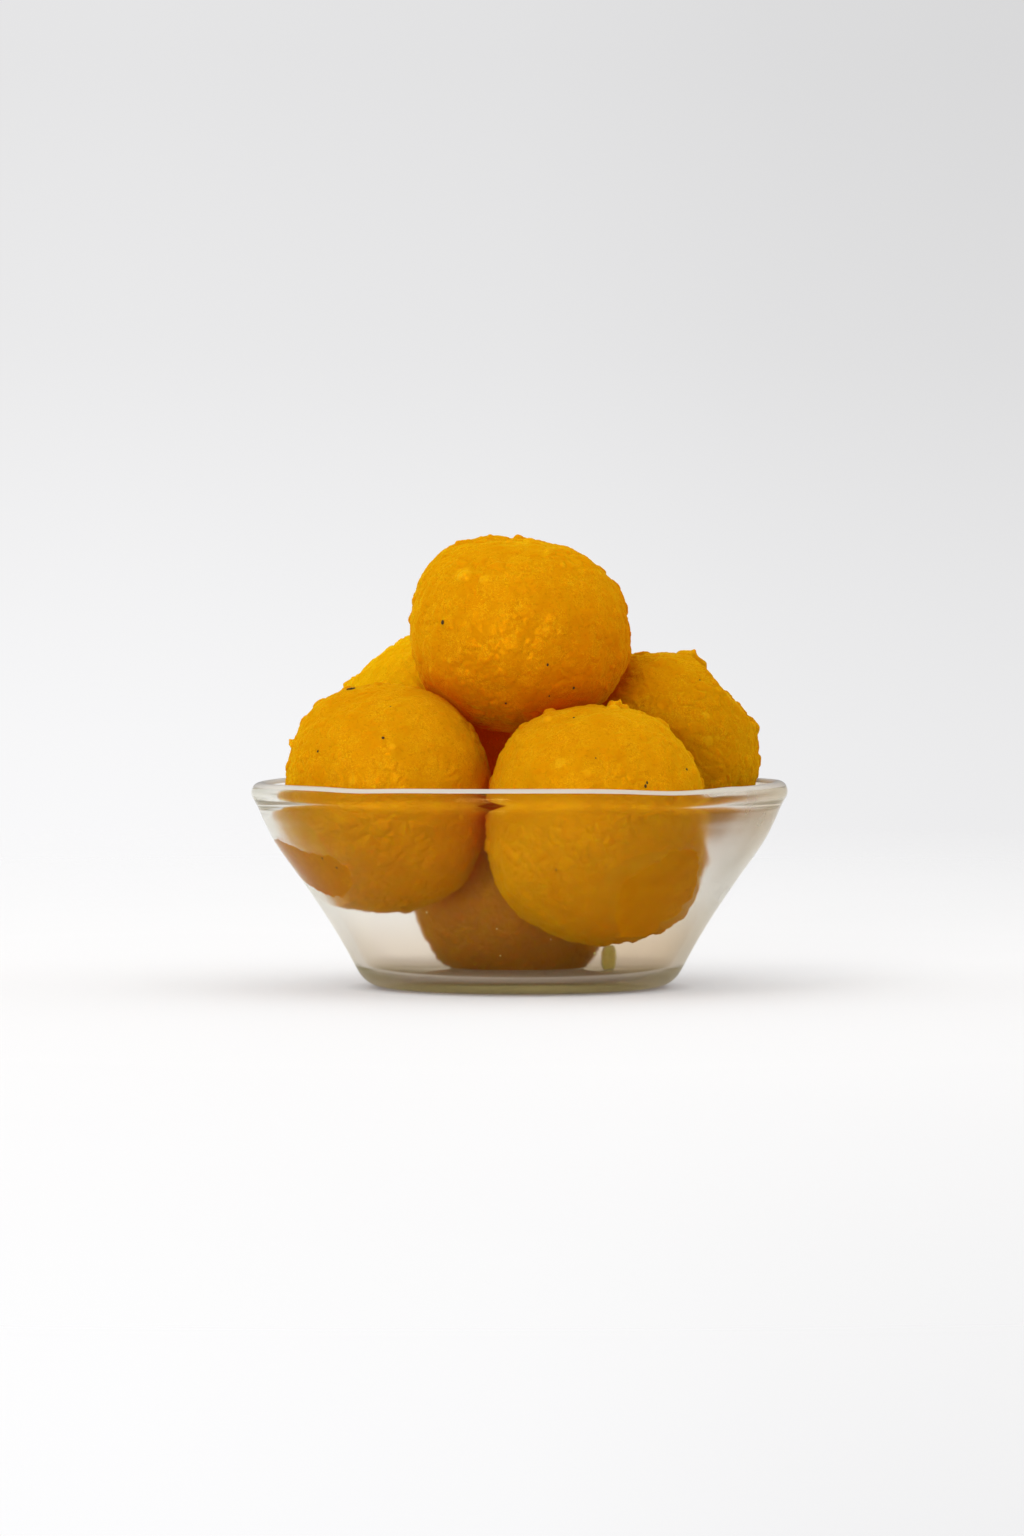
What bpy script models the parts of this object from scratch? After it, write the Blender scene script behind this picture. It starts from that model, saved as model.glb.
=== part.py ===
"""Six ladoos heaped in a small clear glass bowl.

Metres, +Z up. The bowl stands on Z = 0 with its axis on the Z axis, and the
front of the heap faces -Y. Four ladoos sit against the bowl's wall, one on its
floor between them, and the sixth lies on top. Each was pressed by hand from
small soft grains, so it is a little square, lumpy and flattened where it
touches its neighbours or the glass.
"""
import math
import random
from collections import namedtuple

import bpy
from mathutils import Vector, noise

MM = 0.001

# ---- the bowl ----
BOWL_HEIGHT = 42.0 * MM
FLOOR_THICKNESS = 3.0 * MM
WALL_THICKNESS = 2.4 * MM
CORNER_HEIGHT = 3.3 * MM        # the rounded edge of the foot, outside
FILLET_HEIGHT = 2.6 * MM        # the rounded edge of the floor, inside
BEAD_CENTRE_RADIUS = 53.0 * MM  # the thick rounded rim
BEAD_HALF_WIDTH = 2.0 * MM
BEAD_HALF_HEIGHT = 2.1 * MM
BEAD_FIRST_ANGLE = 205.0        # degrees round the bead's section, from its inner side
BEAD_LAST_ANGLE = -45.0         # to its outer side
BEAD_SIDES = 8
WALL_STEPS = 7                  # rows of faces up the wall, inside and outside
ARC_STEPS = 3                   # rows of faces round the foot's edge and the fillet
BOWL_SIDES = 56                 # flat sides round the turned bowl
RIM_WAVE = 0.22 * MM            # how far the pressed rim rises and dips
# The outer wall flares in a shallow S: (height, radius) from the foot to the bead.
WALL_STATIONS = (
    (3.3 * MM, 33.2 * MM),
    (8.6 * MM, 36.1 * MM),
    (14.7 * MM, 39.8 * MM),
    (22.1 * MM, 44.8 * MM),
    (29.5 * MM, 50.0 * MM),
    (34.4 * MM, 52.6 * MM),
    (38.2 * MM, 53.8 * MM),
)

# ---- the ladoos ----
SQUARENESS = 2.2                # 2 is a true ellipsoid, more is squarer
LUMP_SIZE = 17.0 * MM
LUMP_HEIGHT = 0.7 * MM
RIPPLE_SIZE = 6.5 * MM
RIPPLE_HEIGHT = 0.45 * MM
GRAIN_CELL = 4.6 * MM           # soft grains pressed together under the skin
GRAIN_RELIEF = 0.5 * MM
CONTACT_GAP = 0.3 * MM          # left between pieces that touch
RIM_CLEARANCE = 0.6 * MM        # over the rounded rim, where a ladoo bends round it
REACH = 3.0 * MM                # neighbours closer than this are fitted to each other
SPHERE_SUBDIVISIONS = 5         # of the sphere that each ladoo is shaped from
LADOO_FACES = 1560              # triangles of a ladoo before its loose grains
LOOSE_GRAINS = 5                # raised grains scattered over each ladoo
LOOSE_GRAIN_RADIUS = (0.9 * MM, 1.4 * MM)
GRAIN_FLATNESS = 0.7
GRAIN_SINK = 0.35               # share of its radius that a grain sinks in

Bump = namedtuple("Bump", "toward width height")
Grain = namedtuple("Grain", "toward radius")
Ladoo = namedtuple("Ladoo", "name centre radii seed bumps flats grains")


def seen(angle, towards_front=0.0):
    """A direction at an angle in the front view, 0 at the right and 90 up."""
    turn = math.radians(angle)
    lean = math.radians(towards_front)
    flat = Vector((math.cos(turn), 0.0, math.sin(turn)))
    return (flat * math.cos(lean) + Vector((0.0, -1.0, 0.0)) * math.sin(lean)).normalized()


def bump(angle, height, width, towards_front=0.0):
    """A broad rise, or a dip where the height is negative, on a ladoo."""
    return Bump(seen(angle, towards_front), math.radians(width), height * MM)


def flat(angle, distance):
    """A flattened side, square to the front view, at a distance from a ladoo's centre."""
    return seen(angle), distance * MM


def grain(angle, towards_front, radius):
    """One raised grain that stands out of a ladoo."""
    return Grain(seen(angle, towards_front), radius * MM)


LADOOS = (
    Ladoo(
        "ladoo_top", Vector((0.1, -1.1, 71.9)) * MM, Vector((22.4, 22.2, 19.9)) * MM, 3,
        (bump(135, 1.8, 26), bump(76, -0.6, 12), bump(48, -0.5, 16), bump(-60, -0.8, 20)),
        (),
        (grain(84, 12, 1.5), grain(97, 16, 1.2), grain(133, 42, 1.9)),
    ),
    Ladoo(
        "ladoo_front_left", Vector((-26.9, -11.3, 39.3)) * MM, Vector((21.2, 22.0, 22.8)) * MM, 11,
        (bump(124, 0.7, 18), bump(172, -0.9, 20), bump(-146, 3.4, 24)),
        (),
        (grain(151, 2, 1.2),),
    ),
    Ladoo(
        "ladoo_front_right", Vector((15.4, -19.9, 34.4)) * MM, Vector((22.3, 22.2, 23.6)) * MM, 23,
        (bump(130, 0.5, 18), bump(57, 0.6, 10), bump(-38, 1.5, 20), bump(-80, 0.4, 14)),
        (),
        (grain(81, 6, 1.7), grain(68, 14, 1.2), grain(115, 18, 1.3), grain(-47, 4, 1.5)),
    ),
    Ladoo(
        "ladoo_back_right", Vector((28.5, 18.2, 47.9)) * MM, Vector((21.0, 21.0, 21.5)) * MM, 37,
        (bump(72, 1.0, 9), bump(10, 0.4, 10), bump(-38, 1.0, 22)),
        (flat(43, 18.6), flat(92, 20.0)),
        (grain(73, 2, 2.4), grain(14, 10, 1.5)),
    ),
    Ladoo(
        "ladoo_back_left", Vector((-17.4, 31.8, 52.2)) * MM, Vector((20.2, 20.4, 20.1)) * MM, 51,
        (bump(152, 0.5, 9), bump(110, 0.4, 8)),
        (flat(130, 19.1),),
        (),
    ),
    Ladoo(
        "ladoo_bottom", Vector((-1.5, 14.9, 20.6)) * MM, Vector((21.6, 20.2, 21.0)) * MM, 67,
        (bump(-50, 1.2, 16), bump(-160, -0.8, 20)),
        (),
        (),
    ),
)


def clear_scene():
    for existing in list(bpy.data.objects):
        bpy.data.objects.remove(existing, do_unlink=True)


def make_collection(name):
    collection = bpy.data.collections.new(name)
    bpy.context.scene.collection.children.link(collection)
    return collection


def move_to(collection, part):
    for holder in list(part.users_collection):
        holder.objects.unlink(part)
    collection.objects.link(part)


def make_material(name, colour, roughness, transmission=0.0):
    material = bpy.data.materials.new(name)
    material.use_nodes = True
    shader = material.node_tree.nodes["Principled BSDF"]
    shader.inputs["Base Color"].default_value = (*colour, 1.0)
    shader.inputs["Roughness"].default_value = roughness
    shader.inputs["Metallic"].default_value = 0.0
    shader.inputs["Transmission Weight"].default_value = transmission
    material.diffuse_color = (*colour, 1.0)
    return material


# ---------------------------------------------------------------- bowl


def station_slopes():
    """The wall's slope at each station, from the stations on both sides."""
    slopes = []
    last = len(WALL_STATIONS) - 1
    for index in range(len(WALL_STATIONS)):
        below = WALL_STATIONS[max(index - 1, 0)]
        above = WALL_STATIONS[min(index + 1, last)]
        slopes.append((above[1] - below[1]) / (above[0] - below[0]))
    return slopes


STATION_SLOPES = station_slopes()


def outer_radius(height):
    """Radius of the outer wall: a smooth curve through the stations."""
    height = min(max(height, WALL_STATIONS[0][0]), WALL_STATIONS[-1][0])
    index = 0
    while height > WALL_STATIONS[index + 1][0]:
        index += 1
    low, high = WALL_STATIONS[index], WALL_STATIONS[index + 1]
    span = high[0] - low[0]
    t = (height - low[0]) / span
    return (
        low[1] * (1 + 2 * t) * (1 - t) ** 2
        + high[1] * t * t * (3 - 2 * t)
        + span * STATION_SLOPES[index] * t * (1 - t) ** 2
        + span * STATION_SLOPES[index + 1] * t * t * (t - 1)
    )


def wall_slope(height):
    """How much the outer wall's radius grows for each metre of height."""
    step = 0.2 * MM
    low = max(height - step, WALL_STATIONS[0][0])
    high = min(height + step, WALL_STATIONS[-1][0])
    return (outer_radius(high) - outer_radius(low)) / (high - low)


def inner_radius(height):
    """Radius of the inner wall at a height, one wall thickness inside the outer."""
    return outer_radius(height) - WALL_THICKNESS * math.hypot(1.0, wall_slope(height))


def rounded_corner(flat_height, rise, wall):
    """Arc from a level surface up to a wall that it meets smoothly, as (radius, height)."""
    top_height = flat_height + rise
    turn = math.atan2(1.0, wall_slope(top_height))
    corner = rise / (1.0 - math.cos(turn))
    start_radius = wall(top_height) - corner * math.sin(turn)
    points = []
    for step in range(ARC_STEPS + 1):
        angle = turn * step / ARC_STEPS
        radius = start_radius + corner * math.sin(angle)
        points.append((radius, flat_height + corner * (1.0 - math.cos(angle))))
    return points


def bead_section():
    """The thick rim, from the inner wall over the top to the outer wall."""
    points = []
    centre_height = BOWL_HEIGHT - BEAD_HALF_HEIGHT
    for step in range(BEAD_SIDES + 1):
        share = step / BEAD_SIDES
        angle = math.radians(BEAD_FIRST_ANGLE + (BEAD_LAST_ANGLE - BEAD_FIRST_ANGLE) * share)
        radius = BEAD_CENTRE_RADIUS + BEAD_HALF_WIDTH * math.cos(angle)
        points.append((radius, centre_height + BEAD_HALF_HEIGHT * math.sin(angle)))
    return points


def wall_section(radius_at, low, high):
    """Points up a wall, between its rounded foot and the bead."""
    points = []
    for step in range(1, WALL_STEPS + 1):
        height = low + (high - low) * step / WALL_STEPS
        points.append((radius_at(height), height))
    return points


def bowl_section():
    """Half the bowl's section, from the floor's centre round to the foot's centre."""
    under_bead = BOWL_HEIGHT - 2.0 * BEAD_HALF_HEIGHT
    fillet = rounded_corner(FLOOR_THICKNESS, FILLET_HEIGHT, inner_radius)
    corner = rounded_corner(0.0, CORNER_HEIGHT, outer_radius)
    inner_wall = wall_section(inner_radius, FLOOR_THICKNESS + FILLET_HEIGHT, under_bead)
    outer_wall = wall_section(outer_radius, CORNER_HEIGHT, under_bead)
    section = [(0.0, FLOOR_THICKNESS)]
    section += fillet
    section += inner_wall
    section += bead_section()
    section += reversed(outer_wall)
    section += reversed(corner)
    section.append((0.0, 0.0))
    return section


def rim_rise(azimuth):
    """How far the rim stands above or below its mean height at an azimuth."""
    return RIM_WAVE * (0.6 * math.sin(3 * azimuth + 0.9) + 0.4 * math.sin(5 * azimuth + 2.1))


def make_bowl(collection, material):
    section = bowl_section()
    mesh = bpy.data.meshes.new("bowl_section")
    edges = [(index, index + 1) for index in range(len(section) - 1)]
    mesh.from_pydata([(radius, 0.0, height) for radius, height in section], edges, [])
    profile = bpy.data.objects.new("bowl_section", mesh)
    collection.objects.link(profile)
    screw = profile.modifiers.new("turned", "SCREW")
    screw.axis = "Z"
    screw.steps = BOWL_SIDES
    screw.render_steps = BOWL_SIDES
    screw.use_merge_vertices = True
    screw.merge_threshold = 0.01 * MM
    bpy.context.view_layer.update()

    turned = bpy.data.meshes.new_from_object(profile.evaluated_get(bpy.context.evaluated_depsgraph_get()))
    turned.name = "bowl"
    bpy.data.objects.remove(profile, do_unlink=True)
    for vertex in turned.vertices:
        share = vertex.co.z / BOWL_HEIGHT
        vertex.co.z += rim_rise(math.atan2(vertex.co.y, vertex.co.x)) * share ** 3
    turned.materials.clear()
    turned.materials.append(material)
    turned.shade_smooth()
    bowl = bpy.data.objects.new("bowl", turned)
    collection.objects.link(bowl)
    return bowl


# ---------------------------------------------------------------- ladoos


def pressed_distance(ladoo, direction):
    """From a ladoo's centre to its broad form, along a unit direction."""
    total = 0.0
    for part, radius in zip(direction, ladoo.radii):
        total += abs(part / radius) ** SQUARENESS
    distance = total ** (-1.0 / SQUARENESS)
    for rise in ladoo.bumps:
        spread = direction.angle(rise.toward) / rise.width
        distance += rise.height * math.exp(-spread * spread)
    for toward, limit in ladoo.flats:
        facing = direction.dot(toward)
        if facing > 0.0:
            distance = min(distance, limit / facing)
    return distance


def surface_relief(ladoo, point):
    """Height of the lumps, ripples and pressed grains at a point of a ladoo's skin."""
    shift = Vector((1.7, -2.3, 3.1)) * ladoo.seed
    lumps = noise.noise(point / LUMP_SIZE + shift)
    ripples = noise.noise(point / RIPPLE_SIZE + shift * 1.3)
    nearest = noise.voronoi(point / GRAIN_CELL + shift * 0.7)[0][0]
    return LUMP_HEIGHT * lumps + RIPPLE_HEIGHT * ripples + GRAIN_RELIEF * (0.45 - nearest)


def contact_planes(ladoo):
    """For each near neighbour, the direction to it and how far off their shared flat is."""
    planes = []
    for other in LADOOS:
        if other is ladoo:
            continue
        offset = other.centre - ladoo.centre
        apart = offset.length
        direction = offset.normalized()
        own = pressed_distance(ladoo, direction)
        others = pressed_distance(other, -direction)
        if apart - own - others < REACH:
            planes.append((direction, (apart + own - others) / 2.0 - CONTACT_GAP / 2.0))
    return planes


def room_in_bowl(height):
    """Largest radius that a ladoo may reach at a height, clear of the glass."""
    bead_height = BOWL_HEIGHT - BEAD_HALF_HEIGHT
    wall = inner_radius(max(height, FLOOR_THICKNESS + FILLET_HEIGHT)) - CONTACT_GAP
    bead = BEAD_CENTRE_RADIUS - BEAD_HALF_WIDTH - CONTACT_GAP
    # Above the bead the room opens at 45 degrees, tangent to its rounded top.
    lean = math.hypot(BEAD_HALF_WIDTH + RIM_CLEARANCE, BEAD_HALF_HEIGHT + RIM_CLEARANCE)
    over_rim = BEAD_CENTRE_RADIUS + (height - bead_height) - lean
    return max(min(wall, bead), over_rim)


def floor_room(radius):
    """Lowest height that a ladoo may reach at a radius, clear of the floor and its fillet."""
    fillet = rounded_corner(FLOOR_THICKNESS, FILLET_HEIGHT, inner_radius)
    lowest = FLOOR_THICKNESS
    for (near_radius, near_height), (far_radius, far_height) in zip(fillet, fillet[1:]):
        if radius > near_radius:
            share = min((radius - near_radius) / (far_radius - near_radius), 1.0)
            lowest = near_height + (far_height - near_height) * share
    return lowest + CONTACT_GAP


def fits_bowl(point):
    radius = math.hypot(point.x, point.y)
    return radius <= room_in_bowl(point.z) and point.z >= floor_room(radius)


def fitted_point(ladoo, direction, planes):
    """A point of the finished skin, and whether it was held back by a neighbour or the bowl."""
    broad = pressed_distance(ladoo, direction)
    free = broad + surface_relief(ladoo, direction * broad)
    distance = free
    for toward, limit in planes:
        facing = direction.dot(toward)
        if facing > 0.0:
            distance = min(distance, limit / facing)
    if not fits_bowl(ladoo.centre + direction * distance):
        inside, outside = 0.0, distance
        for _ in range(24):
            middle = (inside + outside) / 2.0
            if fits_bowl(ladoo.centre + direction * middle):
                inside = middle
            else:
                outside = middle
        distance = inside
    return ladoo.centre + direction * distance, distance < free - 0.01 * MM


def apply_modifier(part, modifier):
    bpy.ops.object.select_all(action="DESELECT")
    part.select_set(True)
    bpy.context.view_layer.objects.active = part
    bpy.ops.object.modifier_apply(modifier=modifier.name)


def place_for_grain(ladoo, direction, planes, radius):
    """The skin's point for a grain, or None where a neighbour or the glass is too near."""
    point, held = fitted_point(ladoo, direction, planes)
    if held:
        return None
    reach = radius + CONTACT_GAP
    tip = point + direction * reach
    for toward, limit in planes:
        if (tip - ladoo.centre).dot(toward) > limit - reach:
            return None
    beside = math.hypot(tip.x, tip.y) + reach
    if tip.z < BOWL_HEIGHT + 2.0 * reach and beside > room_in_bowl(tip.z - reach):
        return None
    if tip.z < floor_room(beside) + reach:
        return None
    return point


def chosen_grains(ladoo):
    """The grains placed by hand on the front, then others scattered by a seeded draw."""
    draw = random.Random(ladoo.seed)
    grains = list(ladoo.grains)
    for _ in range(LOOSE_GRAINS):
        height = draw.uniform(-0.7, 1.0)
        turn = draw.uniform(0.0, math.pi)     # anywhere on the half that faces +Y
        level = math.sqrt(1.0 - height * height)
        toward = Vector((level * math.cos(turn), level * math.sin(turn), height))
        grains.append(Grain(toward, draw.uniform(*LOOSE_GRAIN_RADIUS)))
    return grains


def make_grain(collection, ladoo, item, point):
    bpy.ops.mesh.primitive_ico_sphere_add(subdivisions=1, radius=item.radius)
    piece = bpy.context.object
    piece.name = ladoo.name + "_grain"
    piece.scale = (1.0, 0.85, GRAIN_FLATNESS)
    piece.rotation_mode = "QUATERNION"
    piece.rotation_quaternion = item.toward.to_track_quat("Z", "Y")
    piece.location = point - item.toward * item.radius * GRAIN_SINK
    piece.hide_render = True
    piece.display_type = "WIRE"
    move_to(collection, piece)
    return piece


def fuse_grains(body, ladoo, planes):
    """Join the raised grains to their ladoo in one union."""
    holder = make_collection(ladoo.name + "_grains")
    for item in chosen_grains(ladoo):
        point = place_for_grain(ladoo, item.toward, planes, item.radius)
        if point is not None:
            make_grain(holder, ladoo, item, point)
    if holder.objects:
        union = body.modifiers.new("grains", "BOOLEAN")
        union.operation = "UNION"
        union.operand_type = "COLLECTION"
        union.collection = holder
        apply_modifier(body, union)
    for piece in list(holder.objects):
        bpy.data.objects.remove(piece, do_unlink=True)
    bpy.data.collections.remove(holder)


def make_ladoo(collection, ladoo, material):
    bpy.ops.mesh.primitive_ico_sphere_add(subdivisions=SPHERE_SUBDIVISIONS, radius=1.0)
    body = bpy.context.object
    body.name = ladoo.name
    body.data.name = ladoo.name
    move_to(collection, body)
    planes = contact_planes(ladoo)
    for vertex in body.data.vertices:
        vertex.co = fitted_point(ladoo, vertex.co.normalized(), planes)[0]
    thin = body.modifiers.new("fewer_faces", "DECIMATE")
    thin.ratio = LADOO_FACES / len(body.data.polygons)
    apply_modifier(body, thin)
    fuse_grains(body, ladoo, planes)
    body.data.materials.clear()
    body.data.materials.append(material)
    body.data.shade_smooth()
    return body


def main():
    clear_scene()
    parts = make_collection("ladoos_in_bowl")
    glass = make_material("clear_glass", (0.93, 0.95, 0.92), 0.03, transmission=1.0)
    sweet = make_material("ladoo", (0.72, 0.30, 0.01), 0.45)
    make_bowl(parts, glass)
    for ladoo in LADOOS:
        make_ladoo(parts, ladoo, sweet)


main()
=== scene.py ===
"""Six ladoos heaped in a small clear glass bowl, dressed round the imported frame.

Metres, +Z up, the front of the heap faces -Y. The forms repeat the frame's own
sizes with a finer surface, so every piece stands where its node does.
"""
import math
import random
from collections import namedtuple

import bpy
import numpy as np
from bpy.props import FloatProperty, FloatVectorProperty, IntProperty, PointerProperty
from bpy.types import Operator, Panel, PropertyGroup
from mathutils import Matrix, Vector, noise


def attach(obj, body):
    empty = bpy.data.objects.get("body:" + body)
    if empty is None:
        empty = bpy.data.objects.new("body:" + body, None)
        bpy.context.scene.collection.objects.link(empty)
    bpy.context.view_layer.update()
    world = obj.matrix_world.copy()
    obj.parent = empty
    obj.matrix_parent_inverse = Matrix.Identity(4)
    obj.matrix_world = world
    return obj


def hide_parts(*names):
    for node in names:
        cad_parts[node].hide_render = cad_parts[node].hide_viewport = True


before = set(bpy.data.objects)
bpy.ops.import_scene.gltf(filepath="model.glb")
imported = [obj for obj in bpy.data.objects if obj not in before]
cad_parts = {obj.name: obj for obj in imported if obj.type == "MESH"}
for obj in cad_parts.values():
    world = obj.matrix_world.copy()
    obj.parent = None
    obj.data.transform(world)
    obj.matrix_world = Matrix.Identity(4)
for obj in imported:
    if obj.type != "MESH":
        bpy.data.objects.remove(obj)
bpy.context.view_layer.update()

bl_info = {
    "name": "Ladoos in a glass bowl",
    "version": (1, 0, 0),
    "blender": (4, 5, 0),
    "location": "3D View > Sidebar > Ladoos",
    "description": "Builds six ladoos in a clear glass bowl and the plain stage that they stand on",
    "category": "Add Mesh",
}

MM = 0.001

# ---- the bowl's form ----
BOWL_HEIGHT = 42.0 * MM
FLOOR_THICKNESS = 3.0 * MM
CORNER_HEIGHT = 3.3 * MM
FILLET_HEIGHT = 2.6 * MM
BEAD_CENTRE_RADIUS = 53.0 * MM
BEAD_HALF_WIDTH = 1.94 * MM
BEAD_HALF_HEIGHT = 2.1 * MM
BEAD_FIRST_ANGLE = 205.0
BEAD_LAST_ANGLE = -35.0
# (height, outer radius) from the foot to the bead
WALL_STATIONS = np.array((
    (3.3, 33.2), (8.6, 36.1), (14.7, 39.8), (22.1, 44.8),
    (29.5, 50.0), (34.4, 52.55), (36.8, 53.55), (38.7, 54.57),
)) * MM
# shallow dips of the rim: (azimuth in degrees, depth, width in degrees)
RIM_DIPS = ((-127.0, 0.25 * MM, 8.0), (-55.0, 0.45 * MM, 11.0), (-38.0, -0.12 * MM, 4.0))
RIM_HIGHLIGHT_START = 41.15 * MM    # the top of the rim above this gets a painted white highlight
# the chips of the rim: where they are, how far they spread, and how deep they are
CHIP_AZIMUTH = -45.0
CHIP_SPREAD = 4.5
CHIP_HEIGHT = 41.0 * MM
CHIP_TALL = 1.1 * MM
CHIP_DEPTH = 0.12 * MM
CHIP_ROUGHNESS = 0.1 * MM
# the film of syrup inside the wall: its least share, and what the right and the left side add
FILM_LEAST = 0.12
FILM_RIGHT = 0.34
FILM_LEFT = 0.12
FOOT_WEAR = 0.5
FILM_IOR = 1.33                 # of the greasy film on the glass
RIM_HIGHLIGHT_ROUGHNESS = 0.35         # of the rim's top

# ---- the ladoos' form ----
LUMP_SIZE = 17.0 * MM
RIPPLE_SIZE = 6.5 * MM
GRAIN_CELL = 4.6 * MM
SMOOTH_AREA_SIZE = 9.0 * MM     # of the areas where the small grains show less
FINE_GRAIN_CELL = 2.9 * MM
CRUMB_CELL = 1.35 * MM
CELL_BEND = 1.7 * MM            # size of the bends that make the cells uneven
WRINKLE_SIZE = 0.7 * MM
RIM_CLEARANCE = 0.6 * MM
REACH = 3.0 * MM                # ladoos nearer than this are pressed flat against each other
SCATTERED_GRAINS = 5
SCATTERED_GRAIN_RADIUS = (0.9 * MM, 1.4 * MM)
GRAIN_SHAPE = np.array((1.0, 0.85, 0.7))
GRAIN_SINK = 0.35
GRAIN_PALENESS = 0.3
SPOT_PALENESS = 0.38
SPOT_RISE = 0.12 * MM
SPOT_EDGE = (0.72, 1.12)        # a pale spot fades out between these shares of its radius
SCATTERED_SPECKS = 7
SCATTERED_SPECK_RADIUS = (0.18, 0.34)   # in mm
CONTACT_REACH = 2.6 * MM
# the heap's dark middle, which light reaches only through the ladoos, gets painted shade and painted glow: it
# is twice as deep as it is wide
HEAP_MIDDLE = np.array((-5.0, 8.0, 49.0)) * MM
HEAP_DEEPER = np.array((1.0, 0.5, 1.0))
HEAP_SHADE = (7.0 * MM, 14.0 * MM)
SOLID_GAP = 0.3 * MM            # between the frame's solids
SHOWN_GAP = 0.12 * MM           # between the finer skins
HALVINGS = 24                   # steps of the search for where the bowl holds a skin back
HELD_MARGIN = 0.01 * MM
PATCH_DEPTH = 0.08 * MM         # how far a wet patch reaches into the glass
PATCH_REACH = 1.7 * MM          # skin further from the glass than this stays dry
PATCH_LOWEST = 6.0 * MM
PATCH_EDGE = (-0.25 * MM, 0.1 * MM)     # from dry outside the outline to wet inside it
PATCH_RADIUS = 44.0 * MM        # of the wall about where the patches are

# ---- the skins' finish ----
GRAINS_PER_METRE = 400.0
CRUMB_GRAINS_PER_METRE = 600.0
FLAKES_PER_GRAIN = 3.2
WRINKLES_PER_GRAIN = 3.7
PITS_PER_GRAIN = 3.6
# what each mask brings in of the pale colour: (mask, from, to, largest share)
# The Wrinkles share is partly the skin's pale crinkles, partly painted glints.
PALE_SHARES = (("Cells", 0.0, 1.0, 0.05), ("Flakes", 0.45, 1.0, 0.06), ("Wrinkles", 0.1, 1.0, 0.8))
PIT_SHARE = 0.2
SKIN_BUMP = 0.03 * MM
SKIN_SCATTER = (1.0, 0.35, 0.04)    # how far red, green and blue spread, beside the translucency
SKIN_SUBSURFACE = 0.8
SKIN_SHEEN = 0.18
SKIN_SHEEN_ROUGHNESS = 0.45

Bump = namedtuple("Bump", "toward width height")
Grain = namedtuple("Grain", "toward radius")
Nub = namedtuple("Nub", "toward radius height")
Ladoo = namedtuple(
    "Ladoo", "name centre radii seed bumps flats grains specks pale nubs colour shade soaked aired misted"
)


def seen(angle, towards_front=0.0):
    """A direction at an angle in the front view, 0 at the right and 90 up."""
    turn = math.radians(angle)
    lean = math.radians(towards_front)
    flat = Vector((math.cos(turn), 0.0, math.sin(turn)))
    return (flat * math.cos(lean) + Vector((0.0, -1.0, 0.0)) * math.sin(lean)).normalized()


def bump(angle, height, width):
    return Bump(seen(angle), math.radians(width), height * MM)


def flat(angle, distance):
    return seen(angle), distance * MM


def grain(angle, towards_front, radius):
    return Grain(seen(angle, towards_front), radius * MM)


def nub(angle, towards_front, radius, height):
    return Nub(seen(angle, towards_front), radius * MM, height * MM)


def ladoo(
    name, centre, radii, seed, colour, shade, soaked=0.0, aired=0.0, misted=0.0,
    bumps=(), flats=(), grains=(), specks=(), pale=(), nubs=(),
):
    """One ladoo, in millimetres.

    colour runs from golden at 0 to orange at 1. A lower shade makes the whole ladoo darker: painted light and
    shade for the light that reaches it. The three amounts after shade say how much painted shade falls on the
    side turned from the light, how much painted shade darkens the skin above the rim, and how much of a pale
    painted veil, standing in for the glass's reflection, lies on the skin. Bumps are (angle, height, width in
    degrees), flats (angle, distance), nubs (angle, towards the front, radius, height), and grains, specks and
    pale spots (angle, towards the front, radius).
    """
    return Ladoo(
        name, np.array(centre) * MM, np.array(radii) * MM, seed,
        [bump(*item) for item in bumps], [flat(*item) for item in flats],
        [grain(*item) for item in grains], [grain(*item) for item in specks],
        [grain(*item) for item in pale], [nub(*item) for item in nubs],
        colour, shade, soaked, aired, misted,
    )


# Each ladoo's shade makes it lighter or darker as a whole: painted light and shade for the light that reaches
# it.
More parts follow.
